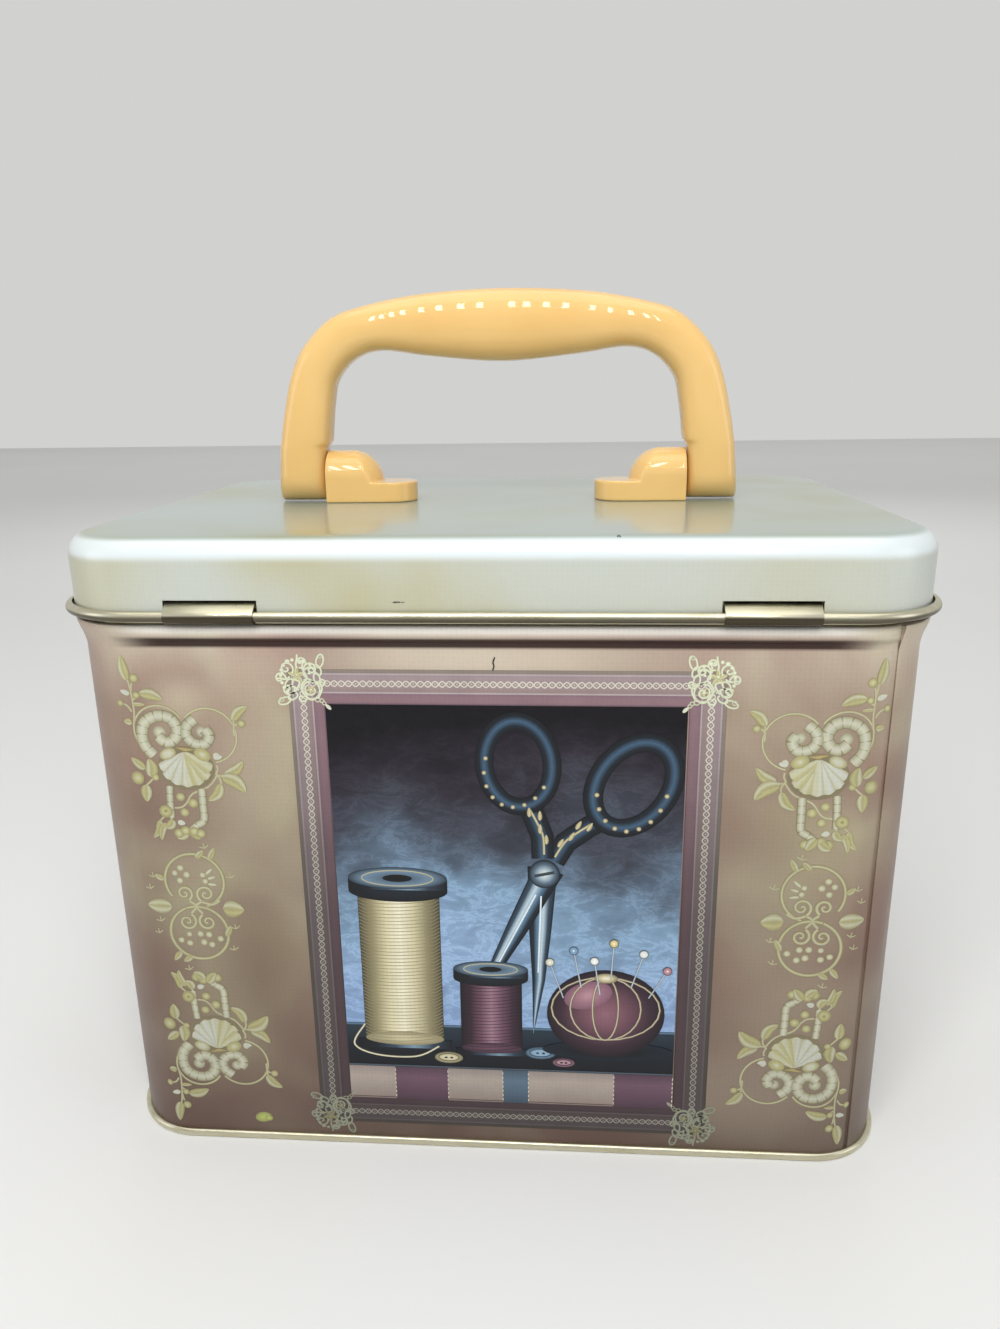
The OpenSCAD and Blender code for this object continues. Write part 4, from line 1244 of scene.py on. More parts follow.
def draw_medallion(p):
    """Two rings with four spirals between two broad leaves."""
    ring = [HALO, RIB, CREAM, RIB, HALO]
    p.level = 0
    for x, z, a, b in ((-72.65, 75.1, 215, -72), (-72.8, 60.8, 112, 470)):
        p.ribbon(arc(x, z, 7.3, a, b, 44), 1.05, ring)
    p.level = 1
    for x, z, r, start, turns in (
            (-75.5, 71.7, 2.1, -60, 1.5), (-70.2, 71.6, 2.3, 240, -1.5),
            (-75.5, 63.9, 2.3, 60, -1.5), (-70.4, 63.9, 2.3, 120, 1.5)):
        p.ribbon(spiral(x, z, r, start, turns), lambda t: 0.95 - 0.35 * t, [HALO, GLOW, CREAM, HALO])
    for stem in (
            [(-74.4, 69.6), (-72.9, 68.2), (-74.3, 66.2)], [(-71.4, 69.5), (-72.9, 68.2), (-71.4, 66.2)],
            [(-71.2, 69.4), (-68.8, 68.8), (-66.8, 69.9)]):
        p.ribbon(curve(stem), 0.7, VEIN)
    p.level = 2
    p.leaf((-79.0, 68.1), (-85.4, 68.0), 4.2, inks=(LINE, CREAM, RIB, CREAM, LINE))
    p.leaf((-66.2, 67.8), (-60.9, 67.5), 4.7)
    for base, tip in (
            ((-68.4, 81.0), (-66.8, 84.2)), ((-71.6, 81.4), (-69.6, 83.4)), ((-78.0, 55.4), (-80.0, 52.8)),
            ((-75.4, 54.0), (-77.6, 52.6)), ((-80.2, 75.4), (-82.4, 76.6)), ((-66.0, 60.0), (-64.6, 63.0))):
        p.leaf(base, tip, 1.7)
    sprigs = (
        (-63.4, 76.6), (-82.8, 76.3), (-84.0, 73.0), (-82.2, 64.2), (-83.1, 60.8), (-63.4, 62.6),
        (-64.3, 56.6), (-69.2, 84.4), (-76.4, 50.6))
    for x, z in sprigs:
        for turn in (40, 100, 165):
            dx, dz = 1.3 * math.cos(math.radians(turn)), 1.3 * math.sin(math.radians(turn))
            vein = [(x, z - 0.4), (x + dx / 2, z - 0.4 + dz / 2), (x + dx, z - 0.4 + dz)]
            p.ribbon(vein, 0.28, VEIN)
    p.level = 3
    berries = [
        (-77.3, 77.2, 0.8), (-75.8, 78.6, 0.85), (-74.4, 76.8, 0.9), (-76.2, 75.2, 0.85),
        (-70.4, 76.8, 0.75), (-69.9, 75.1, 0.75), (-77.6, 58.7, 0.8), (-75.4, 60.4, 0.75),
        (-75.5, 57.9, 0.85), (-72.6, 60.5, 0.85), (-70.4, 60.4, 0.85), (-71.9, 58.2, 0.9),
        (-69.9, 57.6, 0.85), (-67.6, 59.3, 0.85)]
    for x, z, r in berries:
        p.berry(x, z, r, (WHITE, CREAM, RIB))
    for base, tip in (
            ((-69.6, 77.0), (-67.9, 78.6)), ((-69.2, 75.8), (-67.3, 76.4)), ((-69.3, 74.4), (-67.1, 74.2))):
        p.leaf(base, tip, 0.9, inks=(RIB, CREAM, WHITE, CREAM, RIB))


def draw_columns(p, right_of):
    """Left and right column of ornaments; right_of is the sum of the two columns' distances."""
    # Darker towards the foot: partly the print's own tone, partly painted shade for the light's falloff
    p.tone = lambda z: 0.74 + 0.12 * z / 130
    # The lower ornament is the upper one, turned over: their heights add up to this
    upper_and_lower = 136
    for across in (lambda x: x, lambda x: right_of - x):
        p.view = lambda x, z: (across(x), z)
        draw_scroll_ornament(p)
        draw_medallion(p)
        p.view = lambda x, z: (across(x), upper_and_lower - z)
        draw_scroll_ornament(p)
    p.plain()


def box_path(left, low, right, high):
    """The four corners of a rectangle."""
    return [(left, low), (left, high), (right, high), (right, low)]


def draw_filigree(p):
    """Lace-like knot on a corner of the frame, drawn about 0, 0 for the upper left corner."""
    shade, light = "#B9BC9E", "#DCE0C6"
    silk, faint = [shade, light, shade], ["#B2B298", "#CDCFB4", "#B2B298"]
    beads = [
        (-2.7, 4.1, 0.8), (-3.6, 3.2, 0.6), (-4.2, 2.1, 0.6), (-4.4, 0.9, 0.6), (-4.2, -0.9, 0.6),
        (-3.8, -2.0, 0.6), (-3.2, -3.0, 0.55), (-1.5, 4.5, 0.6), (-0.3, 4.4, 0.6), (1.0, 4.2, 0.75),
        (2.5, 3.5, 0.6), (3.1, 2.6, 0.5)]
    for x, z, r in beads:
        p.berry(x, z, r * 0.72, (WHITE, light, shade))
    loops = [
        (4.8, 4.3, 0.8, 1.6, -15), (4.2, 2.2, 0.7, 1.3, 20), (-3.9, -5.2, 1.5, 0.8, 20),
        (-1.9, -4.1, 1.2, 0.7, 30), (2.4, -2.6, 2.0, 2.1, 0), (3.9, 0.2, 0.7, 1.3, 10),
        (-2.6, -1.0, 0.7, 1.2, -40)]
    for x, z, rx, rz, turn in loops:
        p.loop(x, z, rx, rz, 0.42, silk, turn)
    # Curls that run out of the middle, and a small flower with a second one beside it
    curls = [
        (-3.0, 2.5, 1.7, -40, 1.3), (2.6, 2.4, 1.7, 200, -1.3), (-2.9, -2.4, 1.6, 30, -1.3),
        (0.4, 4.1, 1.5, 250, 1.2), (-4.6, 0.2, 1.4, 0, 1.2), (2.4, -2.6, 1.5, 140, 1.3),
        (0.2, -4.4, 1.4, 90, -1.2), (4.9, -0.6, 1.2, 170, 1.2)]
    for x, z, r, start, turns in curls:
        p.ribbon(spiral(x, z, r, start, turns, 18), 0.44, silk)
    for x, z, reach, turn in ((-0.7, 0.9, 2.1, 18), (2.3, -2.5, 1.2, 40)):
        for k in range(5):
            angle = math.radians(turn + 72 * k)
            u, v = math.cos(angle), math.sin(angle)
            p.leaf((x + 0.2 * u, z + 0.2 * v), (x + reach * u, z + reach * v), reach * 0.5)
    lines = [
        [(-0.3, 5.8), (-0.4, 4.9), (-0.7, 3.4), (-0.5, 2.6)],
        [(-5.6, 0.2), (-4.6, 0.1), (-3.2, 0.0), (-2.3, 0.6)],
        [(-3.0, -3.4), (-1.6, -3.2), (-0.6, -1.9), (-0.2, -0.6), (-1.6, 0.0)],
        [(3.6, 1.7), (2.7, 2.9), (1.2, 2.2), (1.0, 0.9), (2.4, -0.2), (4.2, -0.8)],
        [(0.9, 3.9), (0.7, 2.4), (1.6, 0.4), (0.4, -1.2), (0.3, -2.6), (1.2, -4.3), (2.6, -4.9),
         (4.2, -4.0)],
        [(-2.8, -3.0), (-3.0, -1.6), (-1.6, -1.8), (-0.4, -2.6)],
        [(4.6, -0.9), (4.9, -2.2), (4.4, -3.6), (3.8, -4.6)]]
    for line in lines:
        p.ribbon(curve(line, 5), 0.46, silk)
    rings = [(-4.6, -4.9, 0.5), (4.9, 5.4, 0.4), (3.7, -4.8, 0.6), (4.7, -5.1, 0.45), (5.2, -5.7, 0.4)]
    for x, z, r in rings:
        p.loop(x, z, r, r, 0.28, faint, sides=10)
    for x, z in ((-0.7, 1.1), (1.1, -0.2), (2.4, -2.5), (-2.4, 4.2), (-4.0, 1.4), (2.2, 1.4), (0.2, 4.3)):
        p.berry(x, z, 0.32, (WHITE, light, "#C5C8AC"))
    p.disc(6.1, -6.6, 0.85, 0.42, [WHITE, WHITE, CREAM], turn=-45, sides=12)


# Tone of the frame at each height on the wall
FRAME_TONES = [
    (0, 0.21), (25, 0.25), (40, 0.28), (55, 0.32), (70, 0.38), (85, 0.53), (100, 0.76), (112, 0.95),
    (130, 1.12)]


def frame_tone(z):
    """The frame gets darker towards the foot of the box: partly its print, partly painted shade for the
    light's falloff.
    """
    for (z0, tone0), (z1, tone1) in zip(FRAME_TONES, FRAME_TONES[1:]):
        if z <= z1:
            return tone0 + (tone1 - tone0) * (z - z0) / (z1 - z0)
    return FRAME_TONES[-1][1]


def outline_path(left, low, right, high):
    """A rectangle with points along its sides, so that its tone can change on the way."""
    corners = box_path(left, low, right, high)
    path = []
    for a, b in zip(corners, corners[1:] + corners[:1]):
        path += evenly([a, b], 12)[:-1]
    return path


def draw_frame(p, left, right, low, high):
    """Ruled frame with a lace braid, and a knot of filigree on each corner."""
    p.level = 0
    p.tone = frame_tone
    bands = [
        (0.45, 0.9, ["#7F746B", "#857A70", "#80756C"]), (3.2, 4.6, ["#8E7B78", "#958586", "#948386"]),
        (7.0, 2.6, ["#82686F", "#886D73", "#80666F"])]
    for inset, width, inks in bands:
        path = outline_path(left + inset, low + inset, right - inset, high - inset)
        p.ribbon(path, width, inks, closed=True)
    p.level = 1
    for inset, width, ink in ((1.15, 0.36, "#A69A9B"), (5.55, 0.36, "#A99D9E"), (8.15, 0.2, "#6A545E")):
        path = outline_path(left + inset, low + inset, right - inset, high - inset)
        p.ribbon(path, width, [ink, ink], closed=True)
    p.level = 2
    p.tone = lambda z: frame_tone(z) ** 0.6
    lace = ["#B3ABA0", "#E0DACA", "#B3ABA0"]
    inset, pitch, wave = 3.4, 3.3, 0.68
    a, b, c, d = left + inset, right - inset, low + inset, high - inset
    for start, end in (((a, d), (b, d)), ((a, c), (b, c)), ((a, c), (a, d)), ((b, c), (b, d))):
        run = math.dist(start, end)
        count = round(run / pitch)
        ahead = ((end[0] - start[0]) / run, (end[1] - start[1]) / run)
        for phase in (0, math.pi):
            path = []
            for k in range(count * 10 + 1):
                s, w = run * k / (count * 10), wave * math.sin(2 * math.pi * k / 10 + phase)
                path.append((start[0] + ahead[0] * s - ahead[1] * w, start[1] + ahead[1] * s + ahead[0] * w))
            p.ribbon(path, 0.3, lace)
        for k in range(2 * count):
            s = run * (k + 0.5) / (2 * count)
            x, z = start[0] + ahead[0] * s, start[1] + ahead[1] * s
            p.disc(x, z, 0.2, 0.2, ["#C9C4B8", "#B5ADA4"], sides=8)
    p.level = 3
    for side_x, x in ((1, left + 3.0), (-1, right - 3.0)):
        for side_z, z in ((1, high - 2.4), (-1, low + 2.4)):
            p.view = lambda u, v: (x + side_x * u, z + side_z * v)
            draw_filigree(p)
    p.plain()


# Still lifes inside the frames: sewing things of a generic kind, on a table with a cloth before it
FRAME_W = 8.25
FRAME_BOTTOM, FRAME_TOP = 6.0, 129.25
CLOTH_LOW, TABLE_LOW, TABLE_HIGH = 13.75, 23.75, 36.0
STEEL = ["#0C0F14", "#1B2732", "#5F7F98", "#B9CDD8", "#33485A", "#10151C"]
BLACK = ["#07090D", "#161D26", "#3F5A72", "#1A232D", "#07090D"]


def draw_spool(p, x, low, high, r, body, thread):
    """Spool of thread between two dark flanges, with its turns of thread drawn one by one."""
    flange = ["#0A0D12", "#2E3C49", "#7C95A8", "#38485A", "#141A22", "#0A0D12"]
    rise = r * 0.24
    p.level += 1
    p.disc(x, low + rise, r, rise, ["#232D38", "#161C24", "#0B0E13"], sides=36)
    p.ribbon([(x, low + rise * 0.6), (x, low + rise * 1.5)], 2 * r, flange)
    p.level += 1
    p.ribbon([(x, low + rise * 1.6), (x, high - rise * 1.9)], 1.66 * r, body)
    p.disc(x, low + rise * 1.6, r * 0.83, rise * 0.7, [body[2], body[1]], sides=30)
    p.level += 1
    turn_z, pitch, slant = low + rise * 1.9, 0.95, 0.5
    while turn_z < high - rise * 2.6:
        path = [(x + r * 0.82 * u, turn_z - rise * 0.6 * (1 - u * u) ** 0.5 + slant * u) for u in
                (-1, -0.85, -0.6, -0.3, 0, 0.3, 0.6, 0.85, 1)]
        p.ribbon(path, 0.16, [thread, thread])
        turn_z += pitch
    p.ribbon([(x, high - rise * 2.2), (x, high - rise * 1.1)], 2 * r, flange)
    p.disc(x, high - rise * 2.2, r, rise, ["#1B232C", "#161C24", "#0B0E13"], sides=36)
    p.level += 1
    p.ribbon([(x, high - rise * 2.1), (x, high - rise * 1.1)], 2 * r, flange)
    p.disc(x, high - rise, r, rise, ["#3A4A58", "#55697A", "#6E879B", "#2A3641"], sides=36)
    p.level += 1
    p.disc(x, high - rise, r * 0.3, rise * 0.34, ["#050608", "#0B0E13"], sides=20)
    p.loop(x, high - rise, r * 0.72, rise * 0.72, 0.25, ["#B7B08C", "#B7B08C"], sides=30)
    p.level -= 4


def draw_shears(p, x, z, size, lean):
    """Tailor's shears with japanned bows, painted sprigs on them and bright blades."""
    c, s = math.cos(math.radians(lean)), math.sin(math.radians(lean))

    def at(u, v):
        """A point of the shears, in their own size and lean."""
        return x + size * (u * c - v * s), z + size * (u * s + v * c)

    def blade_width(t):
        return max(0.1, size * (6.6 * (1 - t) ** 0.75))

    gilt = ("#E1DCC2", "#BDB08C", "#7A704F")
    p.level += 1
    p.ribbon([at(-0.8, 4), at(2.6, -12), at(5.2, -24), at(7.4, -38)], blade_width, STEEL)
    p.ribbon([at(1.2, 6), at(2.6, 11), at(6.6, 16), at(9.6, 19)], 5.0 * size, BLACK)
    p.loop(*at(13.2, 27.5), 7.6 * size, 10.6 * size, 4.3 * size, BLACK, lean - 18, 40)
    p.level += 1
    p.ribbon([at(0.8, 4), at(-2.6, -12), at(-5.2, -24), at(-7.4, -38)], blade_width, STEEL[::-1])
    p.ribbon([at(-1.2, 6), at(-2.6, 11), at(-6.0, 16), at(-8.4, 18)], 5.0 * size, BLACK)
    p.loop(*at(-11.6, 26.0), 7.2 * size, 9.8 * size, 4.0 * size, BLACK, lean + 20, 40)
    p.level += 1
    gold = ["#8F8560", "#D2C8A0", "#8F8560"]
    for k in range(9):
        t = math.radians(200 + 20 * k)
        p.berry(*at(13.2 + 7.4 * math.cos(t), 27.0 + 10.2 * math.sin(t)), 0.55 * size, gilt)
        t = math.radians(340 - 20 * k)
        p.berry(*at(-11.6 + 7.0 * math.cos(t), 25.6 + 9.6 * math.sin(t)), 0.5 * size, gilt)
    for mirror in (-1, 1):
        stem = [at(mirror * 1.2, 7), at(mirror * 2.4, 11), at(mirror * 4.2, 13.6), at(mirror * 6.6, 16.4)]
        p.ribbon(curve(stem), 0.5 * size, gold)
        for u, v in ((1.3, 9.5), (3.2, 11.6), (4.0, 14.6), (6.4, 14.8)):
            p.leaf(at(mirror * u, v), at(mirror * (u + 0.6), v + 2.2), 1.0 * size, inks=gold)
        p.ribbon([at(mirror * -0.6, -3), at(mirror * -4.6, -22)], 0.35 * size, ["#DCE6EA", "#DCE6EA"])
    p.level += 1
    p.disc(*at(0, 2.4), 3.4 * size, 3.4 * size, ["#DDE2DC", "#A9B8BF", "#55697A", "#0C1015"], sides=30)
    p.level += 1
    p.ribbon([at(-2.0, 1.4), at(2.0, 3.4)], 0.7 * size, ["#1B222A", "#3A4650", "#1B222A"])
    p.level -= 5


def draw_pincushion(p, x, z, rx, rz):
    """Round stuffed pincushion, gathered by cords, with pins in it."""
    p.level += 1
    p.disc(x + 0.6, z - rz * 0.86, rx * 1.12, rz * 0.22, ["#080A0E", "#0E131A", "#16202B"], sides=36)
    p.disc(x, z, rx, rz, ["#8D6470", "#7C5561", "#5F404C", "#3A2832", "#1B141B"], sides=44)
    p.level += 1
    gleam = ["#B58C96", "#9A717D", "#80596A"]
    p.disc(x - rx * 0.3, z + rz * 0.42, rx * 0.42, rz * 0.3, gleam, turn=18, sides=28)
    for share in (-0.92, -0.6, -0.22, 0.22, 0.6, 0.92):
        path = []
        for k in range(13):
            t = math.pi * k / 12
            path.append((x + rx * share * math.sin(t), z + 0.18 * rz + rz * (0.72 * math.cos(t) - 0.06)))
        p.ribbon(path, 0.55, ["#2E1E27", "#D6CDAE", "#9C8F74", "#2E1E27"])
    p.level += 1
    p.disc(x, z + rz * 0.82, rx * 0.2, rz * 0.11, ["#EDE7CF", "#C9BE98", "#7D7357"], sides=20)
    pins = [
        (-0.72, 0.35, -0.95, 1.15, "#DAD7C4"), (-0.42, 0.6, -0.55, 1.42, "#7FA3C0"),
        (0.08, 0.8, 0.12, 1.6, "#D9C88E"), (0.42, 0.62, 0.62, 1.38, "#E3E6E0"),
        (0.72, 0.4, 1.02, 1.02, "#B4858F"), (-0.1, 0.45, -0.2, 1.2, "#E3E6E0")]
    for u0, v0, u1, v1, ink in pins:
        shaft = [(x + rx * u0, z + rz * v0), (x + rx * u1, z + rz * v1)]
        p.ribbon(shaft, 0.35, ["#5E7384", "#D5DEE2", "#5E7384"])
        p.level += 1
        p.disc(x + rx * u1, z + rz * v1, 1.15, 1.15, ["#FFFFFF", ink, ink, "#3B3F45"], sides=16)
        p.level -= 1
    p.level -= 3


def draw_button(p, x, z, r, ink, shade):
    """Two-hole button that lies on the table, with its shadow."""
    p.level += 1
    p.disc(x + 0.4, z - 0.6, r * 1.06, r * 0.5, ["#07090C", "#0A0D11", "#101720"], sides=24)
    p.disc(x, z, r, r * 0.46, [ink, ink, shade], sides=28)
    p.level += 1
    p.loop(x, z + 0.1, r * 0.72, r * 0.3, 0.3, [shade, shade], sides=24)
    for u in (-0.2, 0.2):
        p.disc(x + u * r, z, 0.4, 0.26, ["#11151A", "#2A2F35"], sides=12)
    p.level -= 2


def draw_tape(p, points, width):
    """Measuring tape lying in a curve, with plain ticks and no figures."""
    count = 70
    path = evenly(curve(points, 10), count)
    p.level += 1
    p.ribbon(path, width, ["#B5AB86", "#D6CEAC", "#DED7BA", "#D2C9A6", "#A69C77"])
    p.level += 1
    for k in range(1, count):
        a, b = path[k - 1], path[k + 1]
        run = math.dist(a, b)
        nx, nz = -(b[1] - a[1]) / run, (b[0] - a[0]) / run
        reach = 0.45 if k % 5 == 0 else 0.2
        start = (path[k][0] + nx * width * 0.47, path[k][1] + nz * width * 0.47)
        end = (path[k][0] + nx * width * (0.47 - reach), path[k][1] + nz * width * (0.47 - reach))
        p.ribbon([start, end], 0.22, ["#3A3D42", "#3A3D42"])
    p.level -= 2


def draw_thimble(p, x, z, r):
    """Steel thimble with a gilt rim and rows of dimples."""
    def taper(t):
        return 2 * r * (1 - 0.22 * t) * (1 - max(0, t - 0.7) ** 2 * 3.2)

    p.level += 1
    steel = ["#141A21", "#5F7788", "#D9E3E6", "#8FA5B3", "#3C4C5A", "#10151B"]
    p.ribbon([(x, z), (x, z + 2.1 * r)], taper, steel)
    p.level += 1
    rim = ["#10151B", "#BDB08C", "#EEE8CE", "#BDB08C", "#4B4532"]
    p.ribbon([(x, z - 0.3), (x, z + 0.35 * r)], 2.16 * r, rim)
    for row in range(5):
        for k in range(-3, 4):
            u = (k + 0.5 * (row % 2)) / 3.6
            if abs(u) < 0.92:
                px, pz = x + r * 0.86 * math.sin(u * 1.4), z + r * (0.6 + 0.26 * row)
                p.disc(px, pz, 0.2, 0.2, ["#20303C", "#405667"], sides=8)
    p.level -= 2


def draw_cloth_band(p, left, right, low, high, patches):
    """Strip of pieced cloth along the foot of a picture."""
    middle = (low + high) / 2
    p.level = 1
    p.ribbon([(left, middle), (right, middle)], high - low, ["#8A7A72", "#9A8F86", "#A99C92", "#8F857F"])
    for a, b, inks in patches:
        p.level = 2
        p.ribbon([(a, middle), (b, middle)], high - low, inks)
        p.level = 3
        stitch, pitch = 0.7, 1.3
        for edge in (a, b):
            z = low + 0.6
            while z < high - 0.8:
                p.ribbon([(edge, z), (edge, z + stitch)], 0.22, STITCH)
                z += pitch
    p.level = 3
    p.ribbon([(left, high), (right, high)], 0.5, ["#2A2F38", "#56616D"])


def draw_table(p, left, right, low, high):
    """Dark table with a bright front edge, under the things of a still life."""
    p.level = 0
    middle = (low + high) / 2
    p.ribbon([(left, middle), (right, middle)], high - low, ["#0A0D13", "#141C26", "#25333F"])
    p.level = 1
    p.ribbon([(left, high), (right, high)], 0.7, ["#31485A", "#5E7C93", "#1E2A36"])


CREAM_THREAD = ["#3D392D", "#8C8364", "#CFC6A2", "#ECE6CC", "#D6CDA8", "#938A68", "#3D392D"]
PLUM_THREAD = ["#150F15", "#3E2A37", "#6E4D5D", "#9A7685", "#6A4959", "#36242F", "#150F15"]
BLUE_THREAD = ["#0E141B", "#233646", "#456781", "#7FA3C0", "#456781", "#20303E", "#0E141B"]
BONE, ROSY = ("#C9C1A0", "#6F684E"), ("#B08C96", "#523A45")
# Left and right end of the two pictures
HINGE_PICTURE, CLASP_PICTURE = (-37.4, 44.6), (-41.1, 41.1)


def hinge_side_print():
    """Ornament, frame and still life of the side with the hinges."""
    p = Print("hinge_side_print")
    draw_columns(p, 2.6)
    p.made()
    p = Print("hinge_side_marks")
    p.level = 6
    p.ribbon(curve([(1.7, 132.2), (1.3, 131.0), (1.5, 130.2), (1.2, 129.2)]), 0.28, ["#14100F", "#14100F"])
    p.disc(-61.2, 6.3, 2.2, 1.5, ["#B4BB62", "#A6AD5E", "#8F9160"], turn=10)
    p.disc(-59.8, 6.0, 1.1, 0.8, ["#BFC56C", "#A6AD5E", "#8F9160"])
    p.made()
    p = Print("hinge_side_frame")
    draw_frame(p, -45.6, 53.1, FRAME_BOTTOM, FRAME_TOP)
    p.made()
    p = Print("hinge_side_still_life")
    left, right = HINGE_PICTURE
    draw_table(p, left, right, TABLE_LOW, TABLE_HIGH)
    patches = [(-25.5, -12.0, PLUM_CLOTH), (2.0, 8.5, SLATE_CLOTH), (30.0, right, PLUM_CLOTH)]
    draw_cloth_band(p, left, right, CLOTH_LOW, TABLE_LOW, patches)
    p.level = 2
    draw_shears(p, 12.0, 76.5, 1.08, -14)
    draw_spool(p, -22.6, 27.5, 80.0, 12.0, CREAM_THREAD, "#8F8664")
    draw_spool(p, -0.6, 26.5, 55.0, 9.2, PLUM_THREAD, "#2B1C26")
    p.level = 8
    draw_pincushion(p, 27.6, 41.0, 14.4, 12.4)
    p.level = 4
    p.ribbon(curve([(-32.6, 36.0), (-35.6, 30.0), (-30.0, 27.0), (-20.0, 26.8), (-14.0, 30.0)], 8), 0.5,
             ["#8C8364", "#ECE6CC", "#8C8364"])
    draw_button(p, -11.6, 26.8, 3.6, *BONE)
    draw_button(p, 11.6, 29.0, 3.8, "#88A5BC", "#34495B")
    draw_button(p, 17.4, 26.4, 2.8, *ROSY)
    p.made()


def clasp_side_print():
    """Ornament, frame and still life of the side with the clasp."""
    p = Print("clasp_side_print", TO_CLASP)
    draw_columns(p, 0.0)
    p.made()
    p = Print("clasp_side_frame", TO_CLASP)
    draw_frame(p, -49.35, 49.35, FRAME_BOTTOM, FRAME_TOP)
    p.made()
    p = Print("clasp_side_still_life", TO_CLASP)
    left, right = CLASP_PICTURE
    draw_table(p, left, right, TABLE_LOW, TABLE_HIGH)
    patches = [(-30, -20, SLATE_CLOTH), (-4, 9, PLUM_CLOTH), (24, 33, SLATE_CLOTH)]
    draw_cloth_band(p, left, right, CLOTH_LOW, TABLE_LOW, patches)
    p.level = 2
    draw_tape(p, [(37.0, 84), (29.5, 98), (15, 97), (3, 82), (-7, 60), (-3, 42), (12, 37), (26, 36)], 6.4)
    p.level = 6
    draw_spool(p, 26.2, 28.0, 77.0, 11.4, BLUE_THREAD, "#16222D")
    draw_spool(p, 6.6, 26.5, 57.0, 8.4, CREAM_THREAD, "#8F8664")
    draw_pincushion(p, -22.8, 43.0, 16.6, 14.0)
    p.level = 10
    draw_thimble(p, -6.6, 27.2, 5.4)
    draw_button(p, -33.0, 27.0, 3.8, *BONE)
    draw_button(p, 15.6, 26.2, 3.2, *ROSY)
    p.made()


def end_print(name, along, order):
    """Framed patchwork on a short side, with a medallion on each side of it."""
    p = Print(name, along)
    half_w, low, high = 33.0, 18.0, 121.0
    draw_frame(p, -half_w, half_w, low, high)
    # The letters of an order stand for beige, plum, slate, olive and mauve cloth
    inks = {
        "b": ["#8F8279", "#A4988C", "#AFA497", "#948980"], "p": PLUM_CLOTH, "s": SLATE_CLOTH,
        "o": ["#8B8566", "#A8A27F", "#B5AE8A", "#8F8969"], "m": ["#7B626A", "#8E737B", "#967C84", "#7E656D"]}
    left, foot, side = -half_w + FRAME_W, low + FRAME_W, (2 * half_w - 2 * FRAME_W) / 4
    rows = round((high - low - 2 * FRAME_W) / side)
    tall = (high - low - 2 * FRAME_W) / rows
    seam = 1.1
    for row in range(rows):
        for column in range(4):
            x, z = left + side * (column + 0.5), foot + tall * (row + 0.5)
            p.level = 0
            ink = inks[order[(row * 3 + column * 2) % len(order)]]
            p.ribbon([(x - side / 2, z), (x + side / 2, z)], tall, ink)
            p.level = 1
            stitch = box_path(
                x - side / 2 + seam, z - tall / 2 + seam, x + side / 2 - seam, z + tall / 2 - seam)
            for a, b in zip(stitch, stitch[1:] + stitch[:1]):
                dots = evenly([a, b], 9)
                for k in range(0, 9, 2):
                    p.ribbon([dots[k], dots[k + 1]], 0.24, STITCH)
            if (row + column) % 2 == 0:
                p.level = 2
                for turn in range(0, 360, 60):
                    dx, dz = math.cos(math.radians(turn)), math.sin(math.radians(turn))
                    p.leaf((x + 0.8 * dx, z + 0.8 * dz), (x + 3.8 * dx, z + 3.8 * dz), 1.7)
                p.level = 3
                p.berry(x, z, 0.9)
    # The medallion is drawn about this point; here it stands three times, smaller, on each side
    middle_x, middle_z, scale, aside = -72.7, 68.0, 0.62, 42.66
    for flip in (1, -1):
        for rise in (-33.0, 1.5, 36.0):
            p.view = lambda x, z: (
                flip * ((x - middle_x) * scale + aside), (z - middle_z) * scale + middle_z + rise)
            draw_medallion(p)
    p.made()


def picture_ground(name, along, left, right, low, high):
    """The painted backdrop of a still life, as a sheet of ink of its own."""
    p = Print(name, along)
    middle, rows = (left + right) / 2, 12
    path = [(middle, low + (high - low) * k / rows) for k in range(rows + 1)]
    # It lies below all films
    p.lift = lambda: FILM_T - 0.005
    p.ribbon(path, right - left, ["#3C5064"] * 5)
    painted(p.made(), BACKDROP)


hinge_side_print()
clasp_side_print()
end_print("right_end_print", TO_END, "bpsobmspb")
end_print("left_end_print", -TO_END, "sbompbsop")
picture_ground("hinge_side_backdrop", 0.0, *HINGE_PICTURE, TABLE_LOW, 121.1)
picture_ground("clasp_side_backdrop", TO_CLASP, *CLASP_PICTURE, TABLE_LOW, 121.0)


# Camera, solved from the photograph's own edges: place in millimetres and angles in radians
CAMERA_PLACE = (18.02, -273.17, 190.41)
CAMERA_YAW, CAMERA_PITCH, CAMERA_ROLL = 0.0741, 0.2843, -0.0151
FOCAL_PIXELS, PHOTO_HEIGHT, SENSOR = 961.14, 1329, 36.0


def build_camera():
    # The picture is taller than wide, so the sensor's width lies along its height
    yaw, pitch, roll = CAMERA_YAW, CAMERA_PITCH, CAMERA_ROLL
    ahead = Vector((-math.sin(yaw) * math.cos(pitch), math.cos(yaw) * math.cos(pitch), -math.sin(pitch)))
    level = Vector((math.cos(yaw), math.sin(yaw), 0))
    upright = level.cross(ahead)
    right = math.cos(roll) * level + math.sin(roll) * upright
    up = math.cos(roll) * upright - math.sin(roll) * level
    data = bpy.data.cameras.new("camera")
    data.sensor_width = SENSOR
    data.lens = FOCAL_PIXELS / PHOTO_HEIGHT * SENSOR
    data.clip_start = 0.01
    camera = bpy.data.objects.new("camera", data)
    bpy.context.scene.collection.objects.link(camera)
    turn = Matrix((right, up, -ahead)).transposed().to_4x4()
    camera.matrix_world = Matrix.Translation(Vector(CAMERA_PLACE) * MM) @ turn
    bpy.context.scene.camera = camera


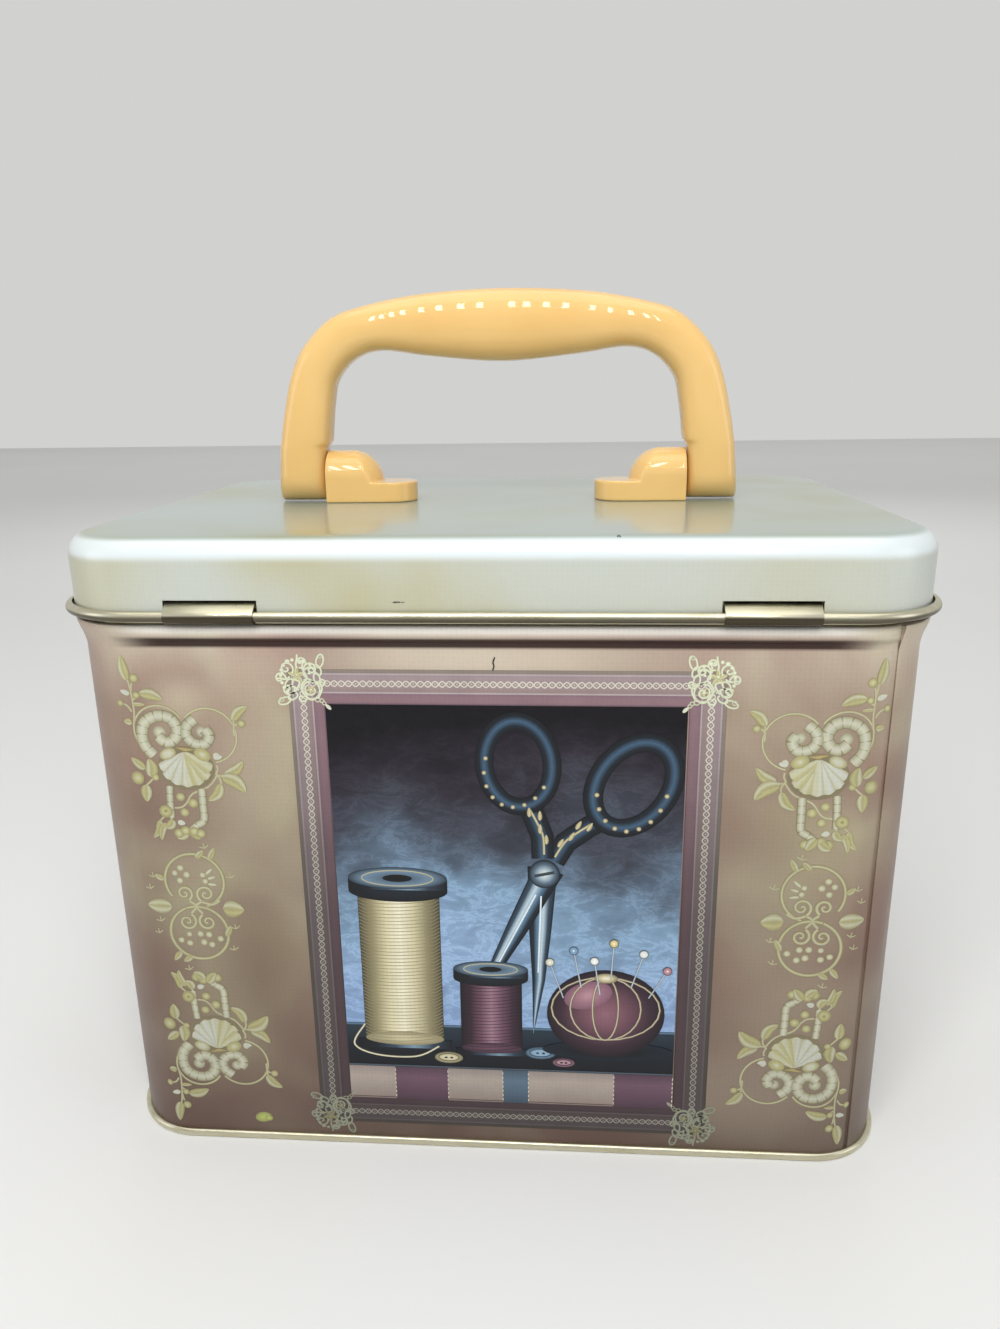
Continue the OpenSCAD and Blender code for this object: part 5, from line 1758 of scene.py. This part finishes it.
def build_floor():
    # Matt paper: an even, pale grey with slow clouds of fibre
    only()
    bpy.ops.mesh.primitive_plane_add(size=6.0)
    floor = started("floor")
    material, tree, shader, place = new_material("matt_paper", Roughness=0.9, Specular_IOR_Level=0.1)
    fibres = add(tree, "ShaderNodeTexNoise", {"Vector": place, "Scale": scale_for(400)})
    tint = add(tree, "ShaderNodeValToRGB", {"Fac": fibres}, stops=[(0.3, "#DFDFDD"), (0.7, "#E2E2E0")])
    plug(tree, shader, {"Base Color": tint})
    painted(floor, material)


def lamp(name, place, target, size, watts, colour="#FFFFFF"):
    """A rectangular lamp that looks at its target; place and size are in metres."""
    data = bpy.data.lights.new(name, "AREA")
    data.shape = "RECTANGLE"
    data.size, data.size_y = size
    data.energy = watts
    data.color = linear(colour)[:3]
    obj = bpy.data.objects.new(name, data)
    bpy.context.scene.collection.objects.link(obj)
    obj.location = place
    obj.rotation_mode = "QUATERNION"
    obj.rotation_quaternion = (Vector(target) - Vector(place)).to_track_quat("-Z", "Y")
    obj.visible_camera = False
    return obj


def spark_row():
    """Row of narrow lamps before the handle; its gloss mirrors them as a string of sparks."""
    # Each number is the place along the grip, in mm, where that lamp is mirrored towards the camera
    size, watts_per_m2 = (0.0065, 0.15), 44
    for k, along in enumerate((
            -34.6, -32.0, -29.1, -25.7, -20.2, -15.4, -10.1, -5.3, 2.9, 6.6,
            11.5, 16.3, 23.8, 29.0, 34.0, 37.1, 39.9)):
        # The grip turns down faster beyond 29 mm
        bend = max(along - 29.0, 0.0)
        spot = Vector((along * MM, -0.0065, 0.2105 - 2.46e-6 * along ** 2))
        place = Vector((
            -0.031 + 0.0039 * along + 0.00012 * bend ** 2,
            -0.315 - 4e-5 * along ** 2, 0.535 - 9e-5 * along ** 2))
        glow = lamp("spark_%02d" % k, place, spot, size, watts_per_m2 * size[0] * size[1])
        # The tall side stands square to the grip's slope, so the mirrored spark stays upright
        aim = (spot - place).normalized()
        tall = Vector((1.0, 0.0, -0.0028 * along)).cross(aim).normalized()
        glow.rotation_quaternion = Matrix((tall.cross(-aim), tall, -aim)).transposed().to_quaternion()


def build_light():
    # One softbox in front, a weak fill on each side, and the sparks on the grip
    centre = (0, 0, 0.12)
    key = lamp("key_softbox", (-0.02, -0.85, 0.92), centre, (1.1, 0.6), 7.8)
    key.visible_glossy = False
    for name, x in (("left_fill", -0.9), ("right_fill", 0.9)):
        lamp(name, (x, -0.4, 0.35), centre, (0.4, 0.6), 1.0, "#EEF2FF")
    spark_row()
    # The back of the tin and the floor behind it get a softer light of their own
    for name, place, target, size, watts in (
            ("back_fill", (0.0, 1.1, 0.75), centre, (1.2, 0.5), 3.0),
            ("far_floor", (0.0, 2.3, 1.5), (0.0, 2.4, 0.0), (4.0, 1.6), 8.0)):
        lamp(name, place, target, size, watts).visible_glossy = False
    # A wide, soft light from straight above keeps the floor even
    sky = bpy.data.lights.new("overhead", "SUN")
    sky.energy = 0.95
    sky.angle = math.radians(60)
    bpy.context.scene.collection.objects.link(bpy.data.objects.new("overhead", sky))
    world = bpy.data.worlds.new("studio")
    bpy.context.scene.world = world
    world.use_nodes = True
    tree = world.node_tree
    # The background is pale where it is seen or mirrored, and dim as a light
    rays = add(tree, "ShaderNodeLightPath")
    seen = rays.outputs["Is Camera Ray"]
    for kind in ("Is Glossy Ray", "Is Transmission Ray"):
        seen = add(tree, "ShaderNodeMath", {0: seen, 1: rays.outputs[kind]}, operation="MAXIMUM")
    strength = add(tree, "ShaderNodeMapRange", {"Value": seen, "To Min": 0.3, "To Max": 0.95})
    plug(tree, tree.nodes["Background"], {"Color": "#D6D6D4", "Strength": strength})


build_camera()
build_floor()
build_light()
bpy.context.scene.view_settings.view_transform = "Standard"

only()
